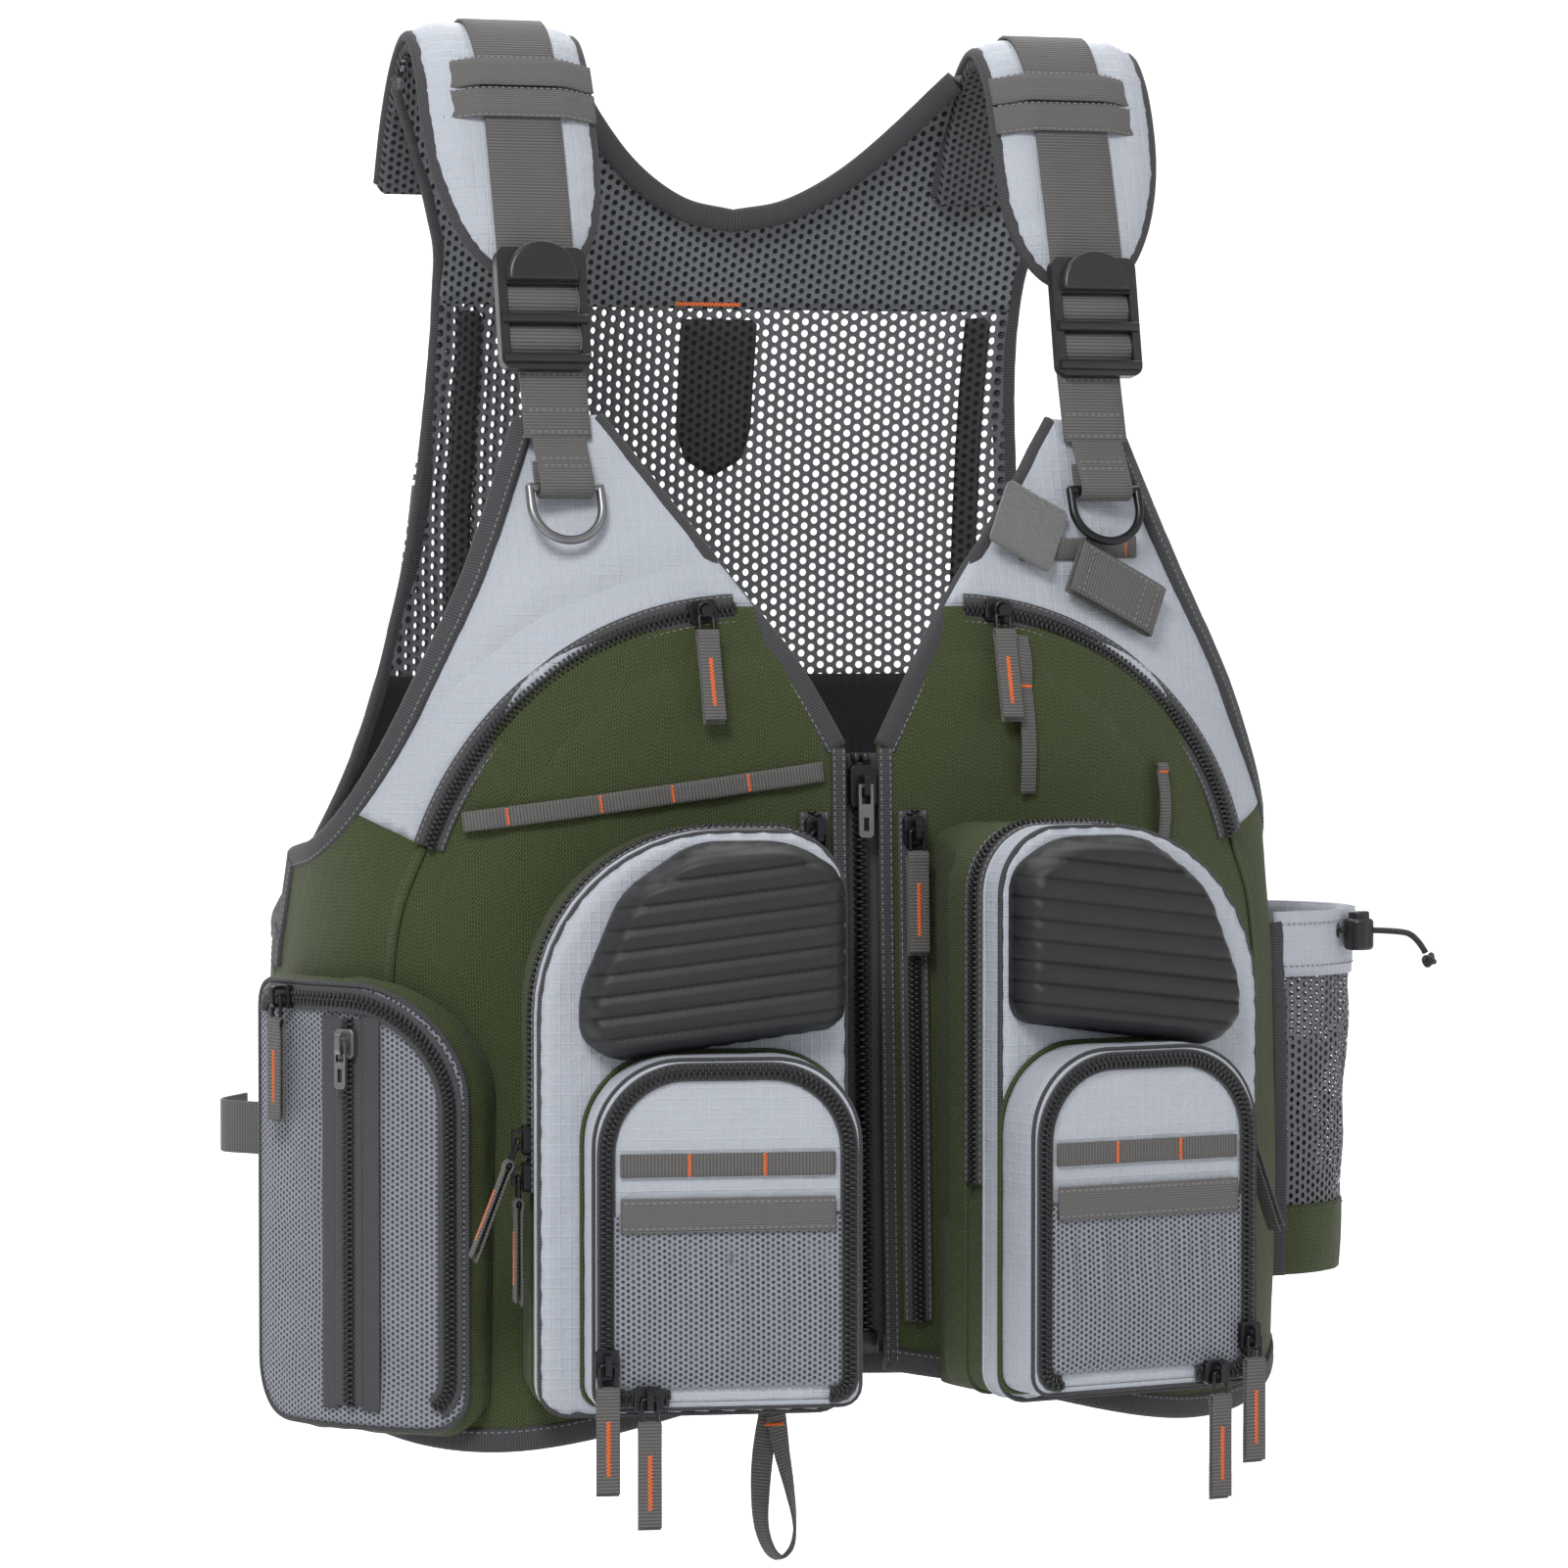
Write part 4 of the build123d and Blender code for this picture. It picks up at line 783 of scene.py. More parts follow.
def stitch_points(a, b, across, up, width, height):
    """One stitch from a to b, as a little ridge with tapered ends."""
    return [a, a.lerp(b, 0.25) + across * width / 2, a.lerp(b, 0.75) + across * width / 2, b,
            a.lerp(b, 0.75) - across * width / 2, a.lerp(b, 0.25) - across * width / 2,
            a.lerp(b, 0.3) + up * height, a.lerp(b, 0.7) + up * height]


class Stitching:
    """All thread of one colour on one body, gathered into one piece."""

    def __init__(self, name, material):
        self.name, self.material = name, material
        self.points, self.faces = [], []

    def run(self, path, normals, side=1):
        """A row of stitches along a path."""
        line = resample(path, STITCH_PITCH)
        tree = tree_of(path)
        for a, b in zip(line, line[1:]):
            normal = normals[tree.find(a)[1]]
            along = (b - a).normalized()
            across = along.cross(normal).normalized()
            self.add(a, a + along * STITCH_LENGTH, across, normal, STITCH_WIDTH, STITCH_HEIGHT, side)

    def add(self, a, b, across, up, width, height, side=1):
        points, faces = stitch_points(a, b, across, up, width, height), STITCH_FACES
        if side < 0:
            points = [Vector((-p.x, p.y, p.z)) for p in points]
            faces = [tuple(reversed(f)) for f in faces]
        start = len(self.points)
        self.points += points
        self.faces += [tuple(start + i for i in f) for f in faces]

    def bartack(self, place, along, up, length, side=1, width=2.0):
        """A dense zigzag: the bar's length lies along a direction."""
        along = (along - up * along.dot(up)).normalized()
        across = along.cross(up).normalized()
        count = max(5, round(length / 0.75))
        for i in range(count):
            centre = place + along * (length * ((i + 0.5) / count - 0.5))
            lean = along * 0.35 * (1 if i % 2 else -1)
            reach = across * width / 2
            self.add(centre - reach - lean, centre + reach + lean, along, up, BAR_THREAD, BAR_HEIGHT, side)

    def make(self, body, slot):
        if not self.faces:
            return None
        uvs = [tuple((0.0, 0.0) for _ in f) for f in self.faces]
        obj = add_object(self.name, self.points, self.faces, uvs, self.material)
        return finish_piece(obj, body, slot)


def root_thread(colour):
    """The gathered stitching of a colour that rides on the vest itself."""
    if colour not in SEWN:
        SEWN[colour] = Stitching(f"stitching_{colour}", M[THREADS[colour]])
    return SEWN[colour]


# across, height and half width at five places of one turn of a zip's coil
COIL_TURN = ((3.1, 0.75, 0.5), (2.9, 1.9, 0.5), (1.2, 2.6, 0.55), (-0.5, 2.3, 0.5), (-0.7, 1.2, 0.4))


def zip_run(name, path, normals, side=1, tape=7.0):
    """Tape and a two-sided coil along a path."""
    line = resample(path, 3.0)
    tree = tree_of(path)
    ups = [normals[tree.find(p)[1]] for p in line]
    ribbon = sweep(name + "_tape", line, ups, strap_section(2 * tape, 0.75), M["tape"], side)
    fine = resample(path, 1.25)
    points, faces = [], []
    for i, (place, along) in enumerate(zip(fine, tangents(fine))):
        up = normals[tree.find(place)[1]]
        across = along.cross(up).normalized()
        hand = 1 if i % 2 else -1
        start = len(points)
        for a, h, w in COIL_TURN:
            for off in (-w, w):
                points.append(place + across * (a * hand) + up * h + along * off)
        for k in range(4):
            q = start + 2 * k
            faces.append((q, q + 1, q + 3, q + 2) if hand > 0 else (q, q + 2, q + 3, q + 1))
        for k in (0, 1):
            ring = [start + 2 * j + k for j in range(5)]
            faces.append(tuple(ring if (k == 0) == (hand > 0) else reversed(ring)))
    uvs = [tuple((0.0, 0.0) for _ in f) for f in faces]
    coil = add_object(name + "_coil", points, faces, uvs, M["coil"], side)
    return [finish_piece(ribbon, "root", "zip_coil"), finish_piece(coil, "root", "zip_coil")]


def side_name(side):
    return "left" if side > 0 else "right"

# ---------------------------------------------------------------- cloth panels

FRONT_EDGE = 8
V_EDGE = ((FRONT_EDGE, -318), (28, -282), (50, -250), (76, -215), (108, -170))
FRONT_ARMHOLE = ((145, -172), (170, -237), (193, -285), (208, -318), (224, -350), (262, -420))
FRONT_HEM = ((262, HEM + 60), (236, HEM + 22), (200, HEM + 2), (150, HEM), (60, HEM + 20),
             (FRONT_EDGE, HEM + 30))
BACK_NECK = ((0, -70), (25, -65), (51, -50), (75, -27), (92, -6))
BACK_ARMHOLE = ((178, -20), (158, -63), (145, -104), (150, -200), (163, -273), (186, -336), (216, -385),
                (262, -420))
BACK_HEM = ((262, HEM + 60), (236, HEM + 20), (190, HEM), (0, HEM))


def on_cloth(points, count, back=False):
    """A smooth line drawn in X and Z, as arc length and height."""
    return [(arc_of(p[0], p[1], back) * (1 if p[0] >= 0 else -1), p[1]) for p in curve_points(points, count)]


def chest_arc_places(radius, low, high, count):
    out = []
    for i in range(count):
        a = math.radians(low + (high - low) * i / (count - 1))
        out.append((CHEST_X + radius * math.cos(a), CHEST_Z + radius * math.sin(a)))
    return out


def is_olive(x, z):
    if math.dist((x, z), (CHEST_X, CHEST_Z)) < CHEST_RADIUS:
        return True
    if x < 193:
        return z < -400 + 38 * x / 193
    return z < -362 + 24 * min(1, (x - 193) / 43)


def make_front():
    outline = (on_cloth(V_EDGE, 30) + on_cloth((V_EDGE[-1], FRONT_ARMHOLE[0]), 6)
               + on_cloth(FRONT_ARMHOLE, 40) + on_cloth((FRONT_ARMHOLE[-1], FRONT_HEM[0]), 20)
               + on_cloth(FRONT_HEM, 40) + on_cloth((FRONT_HEM[-1], V_EDGE[0]), 40))
    border = [(arc_of(x, z), z) for x, z in chest_arc_places(CHEST_RADIUS, 112, 17, 60)]
    border += [(arc_of(x, z), z) for x, z in resample([(193.4, -362), (236, -338), (275, -338)], 5)[1:]]
    flat, faces = triangulate(outline, 4.5, lines=[border])
    places = {}

    def x_of(p):
        if p not in places:
            places[p] = body_point(p[0], p[1], 0).x
        return places[p]

    parts = {"olive": [], "pale": []}
    for f in faces:
        x = sum(x_of(flat[i]) for i in f) / 3
        s = sum(flat[i][0] for i in f) / 3
        z = sum(flat[i][1] for i in f) / 3
        past_side = s > arc_of(240, z)
        parts["olive" if is_olive(x if not past_side else 250, z) else "pale"].append(f)
    for side in (1, -1):
        name = side_name(side)
        for kind, node in (("olive", f"front_panel_{name}"), ("pale", f"chest_yoke_{name}")):
            obj = slab(f"cloth_{node}", flat, parts[kind], lambda s, z: front_point(s, z, CLOTH),
                       lambda s, z: body_point(s, z, 0.6), M[kind], side)
            finish_piece(obj, "root", "olive_oxford" if kind == "olive" else "grey_ripstop",
                         *([node] if kind == "olive" else once(side, "chest_yokes")))


def make_back():
    half = (on_cloth(BACK_NECK, 20, True) + on_cloth(((92, -6), (178, -6), (178, -20)), 14, True)[1:]
            + on_cloth(BACK_ARMHOLE, 44, True)[1:] + on_cloth((BACK_ARMHOLE[-1], BACK_HEM[0]), 16, True)[1:]
            + on_cloth(BACK_HEM, 30, True)[1:])
    outline = half + [(-s, z) for s, z in reversed(half[1:-1])]
    lines = [[(-320, z), (320, z)] for z in (YOKE_SEAM, LINING_TOP)]
    flat, faces = triangulate(outline, 6.0, lines=lines)
    parts = {"yoke": [], "net": [], "lining": []}
    for f in faces:
        z = sum(flat[i][1] for i in f) / 3
        parts["yoke" if z > YOKE_SEAM else "net" if z > LINING_TOP else "lining"].append(f)
    for kind, material, slot in (("yoke", "spacer", "spacer_mesh"), ("net", "net", "grey_net"),
                                 ("lining", "lining", "black_lining")):
        obj = slab(f"back_{kind}_cloth", flat, parts[kind], lambda s, z: back_point(s, z, CLOTH),
                   lambda s, z: back_point(s, z, 0.5), M[material])
        finish_piece(obj, "root", slot, f"back_{kind}")
    outer = slab("back_lining_oxford", flat, parts["lining"], lambda s, z: back_point(s, z, CLOTH + 0.7),
                 lambda s, z: back_point(s, z, CLOTH + 0.1), M["olive"])
    finish_piece(outer, "root", "olive_oxford")


def make_yoke_tack():
    """The orange bar that tacks the yoke's lower seam, on the side that faces the wearer."""
    up = -normal_of(back_point, -7, -113)
    root_thread("orange_thread").bartack(back_point(-7, -113, -0.6), Vector((1, 0, 0)), up, 33, width=2.4)


def make_reinforcements():
    """The dark stays that show through the net, and the hanger patch: a real patch, drawn near black as
    painted shadow where it shows through the net.
    """
    # the hanger patch's near-black colour is painted shadow of the patch seen through the net
    patch = [(-19, -120), (19, -120), (19, -172), (14, -187), (0, -195), (-14, -187), (-19, -172)]
    pieces = [("hanger_patch_shadow", patch)]
    for x in (-1, 1):
        middle = arc_of(128, -200, True) * x
        pieces.append((f"back_stay_{side_name(x)}",
                       [(middle - 6, -284), (middle + 6, -284), (middle + 6, -118),
                                                     (middle - 6, -118)]))
    for i, (name, loop) in enumerate(pieces):
        flat, faces = triangulate(loop, 5.0)
        obj = slab(name, flat, faces, lambda s, z: back_point(s, z, 0.1), lambda s, z: back_point(s, z, -0.8),
                   M["dark_net_and_shadow"])
        finish_piece(obj, "root", "black_lining", *(["back_reinforcements"] if i == 0 else []))


BINDING_SECTION = ((9.5, 2.4), (9.2, 3.2), (7, 3.7), (2, 3.9), (0, 3.6), (-1.2, 2.4), (-1.5, 1.2),
                   (-1.2, 0.0),
                   (0, -0.9), (4, -1.1), (9.2, -0.9), (9.5, 0.0))


def bind_edge(name, places, point, inward, side=1):
    """Binding folded round a cloth edge. inward is +1 where the cloth is on the right of the path."""
    line = resample(places, 3.2)
    path = [point(s, z, 0.0) for s, z in line]
    normals = [normal_of(point, s, z, 0.0) for s, z in line]
    shaped = [(a * inward, h) for a, h in BINDING_SECTION]
    obj = sweep(name, path, normals, shaped, M["binding"], side)
    root_thread("grey_thread").run(beside(path, normals, 7.6 * inward, 3.75), normals, side)
    return finish_piece(obj, "root", "grey_binding")


def make_bindings():
    runs = (("v_edge", V_EDGE, False), ("front_armhole", FRONT_ARMHOLE, False),
            ("front_hem", FRONT_HEM, False),
            ("back_armhole", BACK_ARMHOLE, True))
    for side in (1, -1):
        for run, points, back in runs:
            point, inward = (back_point, -1) if back else (front_point, 1)
            obj = bind_edge(f"binding_{run}_{side_name(side)}", on_cloth(points, 60, back), point, inward,
                            side)
            if run == "v_edge" and side > 0:
                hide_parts("edge_binding")
    neck = on_cloth(BACK_NECK, 30, True)
    whole = [(-s, z) for s, z in reversed(neck[1:])] + neck
    bind_edge("binding_back_neck", whole, back_point, -1)
    hem = on_cloth(BACK_HEM, 40, True)
    bind_edge("binding_back_hem", hem + [(-s, z) for s, z in reversed(hem[:-1])], back_point, -1)


def make_plackets():
    """Ribbed bands down both front edges, each with two rows of stitching."""
    places = [(11, z) for z in range(-320, HEM + 27, -6)]
    path = [front_point(arc_of(*p), p[1], 0) for p in places]
    normals = [normal_of(front_point, arc_of(*p), p[1], 0) for p in places]
    for side in (1, -1):
        obj = sweep(f"front_facing_{side_name(side)}", path, normals, strap_section(6.6, 0.9, 2.9),
                    M["binding"], side)
        finish_piece(obj, "root", "grey_binding")
        for off in (-2.2, 2.2):
            seam = [p + Vector((off, 0, 0)) + n * 3.9 for p, n in zip(path, normals)]
            root_thread("grey_thread").run(seam, normals, side)


# ---------------------------------------------------------------- shoulders

STRAP_X = 134
PAD_LINE = ((50, -64), (37, -33), (20, -9), (2, 1), (-14, -13), (-25, -39), (-37, -77), (-46, -108))
PAD_MIDDLE, PAD_HALF, PAD_HEIGHT = 138.5, 39.5, 9.2
PAD_CURVE = [Vector(p) for p in curve_points(PAD_LINE, 160)]
PAD_END = lengths_along(PAD_CURVE)[-1]


def pad_point(x, run, out):
    """A place over the shoulder: run is the length along the pad from its back end."""
    t = max(0.0, min(0.9999, run / PAD_END)) * (len(PAD_CURVE) - 1)
    k = int(t)
    here = PAD_CURVE[k].lerp(PAD_CURVE[k + 1], t - k)
    along = (PAD_CURVE[min(k + 2, len(PAD_CURVE) - 1)] - PAD_CURVE[max(k - 1, 0)]).normalized()
    extra = max(0.0, run - PAD_END)
    return Vector((x, here.x + along.y * out + along.x * extra, here.y - along.x * out + along.y * extra))


def pad_half_width(run):
    """Half width and middle of the pad; it narrows to a rounded end in front."""
    start = PAD_END * 0.60
    r = max(0.0, min(1.0, (run - start) / (PAD_END + 3 - start)))
    return PAD_HALF * (1 - r ** 2.7) ** (1 / 2.2), PAD_MIDDLE - 4.5 * ramp(r, 0, 1)


def pad_edge():
    """The pad's outline as (x, run), from the inner back corner round the front."""
    runs = [PAD_END * i / 60 for i in range(60)] + [PAD_END + 3 * f for f in (0.4, 0.75, 0.93, 0.999)]
    inner = [(pad_half_width(r)[1] - pad_half_width(r)[0], r) for r in runs]
    outer = [(pad_half_width(r)[1] + pad_half_width(r)[0], r) for r in reversed(runs)]
    return inner + outer


def make_pads():
    loop = pad_edge()
    edge = resample(loop, 2.0, closed=True)
    # the back end isn't an edge for the swell, so its places are moved far behind it
    tree = tree_of([(x, run if run > 4 else -40) for x, run in edge])

    def rise(x, run):
        gap = tree.find((x, run, 0))[2]
        swell = 1 - (1 - min(gap / 15, 1)) ** 2
        crease = 0.9 * wobble(x * 0.05, run * 0.11, 2.0) + 0.5 * wobble(x * 0.13, run * 0.2, 7.0)
        webbing = ramp(abs(x - STRAP_X), 17, 22)
        return 3.6 + (PAD_HEIGHT - 3.6) * swell + crease * swell * webbing

    flat, faces = triangulate(loop, 3.2)
    for side in (1, -1):
        name = side_name(side)
        top = slab(f"shoulder_pad_{name}", flat, faces, lambda x, r: pad_point(x, r, rise(x, r)),
                   lambda x, r: pad_point(x, r, 1.8), M["pale"], side)
        finish_piece(top, "root", "grey_ripstop", *once(side, "shoulder_pads"))
        under = slab(f"shoulder_pad_mesh_{name}", flat, faces, lambda x, r: pad_point(x, r, 1.7),
                     lambda x, r: pad_point(x, r, 0.3 - 5.0 * ramp(PAD_END * 0.5 - r, 0, 20)), M["pad_mesh"],
                     side)
        finish_piece(under, "root", "spacer_mesh")
        section = ((8.2, 3.9), (7.6, 5.0), (4, 5.3), (0, 4.9), (-1.6, 3.6), (-2.0, 2.0), (-1.6, 0.8),
                   (0, -0.1),
                   (7.6, -0.1), (8.2, 0.6))
        line = [(x, run) for x, run in edge if run > 1.0]
        path = [pad_point(x, run, 0) for x, run in line]
        normals = [(pad_point(x, run, 2) - pad_point(x, run, 0)).normalized() for x, run in line]
        starts = max(range(len(path)), key=lambda i: (path[i] - path[i - 1]).length)
        path, normals = path[starts:] + path[:starts], normals[starts:] + normals[:starts]
        right = tangents(path)[5].cross(normals[5])
        inward = -1 if right.x * (PAD_MIDDLE - path[5].x) < 0 else 1
        obj = sweep(f"shoulder_pad_binding_{name}", path, normals, [(a * inward, h) for a, h in section],
                    M["binding"], side)
        finish_piece(obj, "root", "grey_binding")
        root_thread("grey_thread").run(beside(path, normals, 6.3 * inward, 5.35), normals, side)


def make_shoulder_straps():
    for side in (1, -1):
        name = side_name(side)
        runs = [PAD_END * (i / 70) for i in range(71)]
        low = PAD_HEIGHT + 0.5
        path = [pad_point(STRAP_X, r, low) for r in runs]
        path.append(pad_point(STRAP_X, PAD_END, low - 1) + Vector((0, -1, -6)))
        normals = [(pad_point(STRAP_X, r, 2) - pad_point(STRAP_X, r, 0)).normalized() for r in runs]
        normals.append(normals[-1])
        rows_at = [strap_section(36 + 3 * ramp(PAD_END * 0.5 - r, -30, 30), 1.7) for r in runs]
        rows_at.append(rows_at[-1])
        rows = []
        for place, along, normal, section in zip(path, tangents(path), normals, rows_at):
            across = along.cross(normal).normalized()
            up = across.cross(along)
            rows.append([place + across * a + up * h for a, h in section])
        obj = grid_piece(f"shoulder_strap_{name}", rows, M["webbing"], side, closed=True, caps=True)
        finish_piece(obj, "root", "grey_webbing", *once(side, "shoulder_webbings"))
        # two elastic bands across the pad, with three rows of stitching
        middle = 0.5 * PAD_END + 17

        def lift(x):
            """The keeper's height over the pad: on top of the strap, and down to the pad beside it."""
            return low + 2.6 - 6.2 * ramp(abs(x - STRAP_X), 17, 38)

        for band, off in (("upper", -7.0), ("lower", 7.0)):
            xs = [STRAP_X - 36 + 72 * i / 40 for i in range(41)]
            run = middle + off
            path = [pad_point(x, run, lift(x)) for x in xs]
            normals = [(pad_point(x, run, 3) - pad_point(x, run, 0)).normalized() for x in xs]
            obj = sweep(f"strap_keeper_{band}_{name}", path, normals, strap_section(13.6, 1.2), M["elastic"],
                        side)
            finish_piece(obj, "root", "black_elastic")
        for off in (-13, 0.4, 13):
            seam = [pad_point(x, middle + off, low + 3.9 - 6.2 * ramp(abs(x - STRAP_X), 17, 38))
                    for x in (STRAP_X - 34 + 68 * i / 30 for i in range(31))]
            ups = [(pad_point(STRAP_X, middle, 2) - pad_point(STRAP_X, middle, 0)).normalized()] * len(seam)
            root_thread("grey_thread").run(seam, ups, side)


def plane(origin, x_axis, z_axis):
    """A frame from its origin, X and Z directions, as a matrix."""
    x, z = Vector(x_axis).normalized(), Vector(z_axis).normalized()
    y = z.cross(x).normalized()
    m = Matrix((x, y, z)).transposed().to_4x4()
    m.translation = Vector(origin)
    return m


def axes(m):
    return m.col[0].to_3d(), m.col[1].to_3d(), m.col[2].to_3d()


BUCKLE_TOP, BUCKLE_BOTTOM = -97, -150


def buckle_frame():
    top = (PAD_LINE[-1][0] - 9 - 1, BUCKLE_TOP)
    low = (front_y(STRAP_X, BUCKLE_BOTTOM) - 9, BUCKLE_BOTTOM)
    slope = math.atan2(top[0] - low[0], top[1] - low[1])
    return plane((STRAP_X, (top[0] + low[0]) / 2, (top[1] + low[1]) / 2), (1, 0, 0),
                 (0, -math.cos(slope), math.sin(slope)))


ANCHOR_X, RING_Z, RING_DROP = 130, -203, 29


def ring_frame():
    inner = ANCHOR_X - 12.5
    low, high = front_y(inner, RING_Z - RING_DROP), front_y(inner, RING_Z)
    tilt = math.atan2(high - low, RING_DROP) + math.radians(3)
    return plane((ANCHOR_X, high - PATCH_LEVEL - 5, RING_Z), (1, 0, 0), (0, -math.cos(tilt), math.sin(tilt)))


def strip(name, m, line, width, material, slot, side=1, body="root", thickness=1.7):
    """Webbing whose path is (y, z) places in a frame's YZ plane."""
    x, y, z = axes(m)
    path = [m.translation + y * p[0] + z * p[1] for p in resample(line, 1.5)]
    normals = [x.cross(t) * -1 for t in tangents(path)]
    obj = sweep(name, path, normals, strap_section(width, thickness), M[material], side)
    return finish_piece(obj, body, slot)


def make_anchors():
    b, r = buckle_frame(), ring_frame()
    for side in (1, -1):
        name = side_name(side)
        for k, (low, high) in enumerate(((-20.0, -7.6), (-2.2, 10.6))):
            line = [(low - 2, 1.0), (low + 1, 4.0), ((low + high) / 2, 5.6), (high - 1, 4.0), (high + 2, 1.0)]
            strip(f"buckle_webbing_{k}_{name}", b, curve_points(line, 16), 33, "webbing", "grey_webbing",
                  side,
                  f"ladder_lock_{name}", 1.5)
        inner = ANCHOR_X - 15.5
        level = PATCH_LEVEL - 0.2
        zs = [BUCKLE_BOTTOM + 8, -150, -158, -166, -174, -181]
        line = [Vector((ANCHOR_X, front_y(inner, z) - level, z)) for z in zs]
        line = curve_points(line, 24)
        normals = [Vector((1, 0, 0)).cross(t) for t in tangents(line)]
        normals = [n if n.y < 0 else -n for n in normals]
        obj = sweep(f"anchor_webbing_{name}", line, normals, strap_section(31, 2.6), M["webbing"], side)
        finish_piece(obj, "root", "grey_webbing", *once(side, "anchor_webbings"))
        sewn = root_thread("grey_thread")
        for z in (-152, -168, -178):
            y = front_y(inner, z) - level - 2.75
            sewn.run([Vector((ANCHOR_X + dx, y, z)) for dx in (-14, 0, 14)], [Vector((0, -1, 0))] * 3, side)
        # the tab folded round the ring's bar
        ring_loop = [(24, -1.4), (15, 0.4), (8, 2.2), (3.2, 3.3)]
        fold = [math.radians(a) for a in range(0, -181, -20)]
        ring_loop += [(3.5 * math.sin(a), 3.5 * math.cos(a)) for a in fold]
        ring_loop += [(8, -3.6), (14, -3.4)]
        strip(f"ring_tab_{name}", r, ring_loop, 25, "webbing", "grey_webbing", side, "root", 1.6)
        x, y, z = axes(r)
        for up in (9, 13):
            base = r.translation + y * up + z * (3.9 if up == 9 else 2.6)
            sewn.run([base + x * dx for dx in (-11, 0, 11)], [z] * 3, side)

# ---------------------------------------------------------------- zips of the front

def on_frame(m, x, y, z=0.0):
    return m @ Vector((x, y, z))


def zip_frame(x, z_top, z_bottom, out=PATCH_LEVEL):
    top, low = front_y(x, z_top, out), front_y(x, z_bottom, out)
    tilt = math.atan2(top - low, z_top - z_bottom)
    return plane((x, top, z_top), (1, 0, 0), (0, -math.cos(tilt), math.sin(tilt)))


MAIN_TOP, MAIN_BOTTOM = -326, -584
PLACKET_X, PLACKET_TOP, PLACKET_BOTTOM = 23.5, -348, -578
MAIN = zip_frame(0, MAIN_TOP, MAIN_BOTTOM, 0)
PLACKET = zip_frame(PLACKET_X, PLACKET_TOP, PLACKET_BOTTOM)


def make_main_zip():
    """Two tapes and a closed row of moulded teeth."""
    length = MAIN_TOP - MAIN_BOTTOM
    x, y, z = axes(MAIN)
    line = [on_frame(MAIN, 0, -float(i)) for i in range(-4, length + 6, 4)]
    tape = sweep("main_zip_tape", line, [z] * len(line), strap_section(24, 0.9, -2.4), M["tape"])
    finish_piece(tape, "root", "zip_coil", "main_zip")
    points, faces = [], []
    pitch = 1.55
    for i in range(int(length / pitch)):
        hand = 1 if i % 2 else -1
        centre = on_frame(MAIN, 0, -(i + 0.5) * pitch)
        start = len(points)
        for a, half, low, high in ((3.3, 0.65, -1.5, 1.9), (2.4, 0.72, -1.5, 3.1), (0.4, 0.72, -1.5, 3.2),
                                   (-0.9, 0.5, -0.8, 2.4)):
            for off, h in ((-half, low), (half, low), (half * 0.75, high), (-half * 0.75, high)):
                points.append(centre + x * (a * hand) + y * off + z * h)
        for k in range(3):
            for j in range(4):
                low, after = start + 4 * k, (j + 1) % 4
                q = (low + j, low + after, low + 4 + after, low + 4 + j)
                faces.append(q if hand > 0 else tuple(reversed(q)))
        for k in (0, 3):
            ring = tuple(start + 4 * k + j for j in range(4))
            faces.append(ring if (k == 3) == (hand > 0) else tuple(reversed(ring)))
    uvs = [tuple((0.0, 0.0) for _ in f) for f in faces]
    teeth = add_object("main_zip_teeth", points, faces, uvs, M["plastic"])
    for polygon in teeth.data.polygons:
        polygon.use_smooth = False
    finish_piece(teeth, "root", "zip_coil")
    # bottom box and pin, and the two top stops
    for name, cy, half_x, half_y in (("main_zip_box", -length - 3, 4.6, 5), ("main_zip_stop_a", 2.2, 1.6, 2),
                                     ("main_zip_stop_b", 2.2, 1.6, 2)):
        cx = {"main_zip_box": 0, "main_zip_stop_a": -2.2, "main_zip_stop_b": 2.2}[name]
        section = [(-half_x, -1.6), (-half_x, 2.2), (-half_x + 0.9, 3.2), (half_x - 0.9, 3.2), (half_x, 2.2),
                   (half_x, -1.6)]
        path = [on_frame(MAIN, cx, cy + half_y), on_frame(MAIN, cx, cy), on_frame(MAIN, cx, cy - half_y)]
        finish_piece(sweep(name, path, [z] * 3, section, M["plastic"]), "root", "zip_coil")


def make_placket_zips():
    length = PLACKET_TOP - PLACKET_BOTTOM
    z = axes(PLACKET)[2]
    path = [on_frame(PLACKET, 0, -float(i)) for i in range(0, length + 1, 5)]
    for side in (1, -1):
        pieces = zip_run(f"placket_zip_{side_name(side)}", path, [z] * len(path), side)
        if side > 0:
            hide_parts("coil_zips")
        for off in (-5.6, 5.6):
            seam = [p + Vector((off, 0, 0)) + z * 0.85 for p in path]
            root_thread("grey_thread").run(seam, [z] * len(seam), side)


def chest_plane():
    return plane(CHEST_CENTRE, (1, 0, 0), (0, -math.cos(CHEST_TILT), -math.sin(CHEST_TILT)))


# the piped seam that carries the chest zip's curve down the side, in X and Z
WELT_LINE = ((193.4, -362), (204, -392), (208, -430), (207, -470), (203, -520), (196, -575), (186, -626))


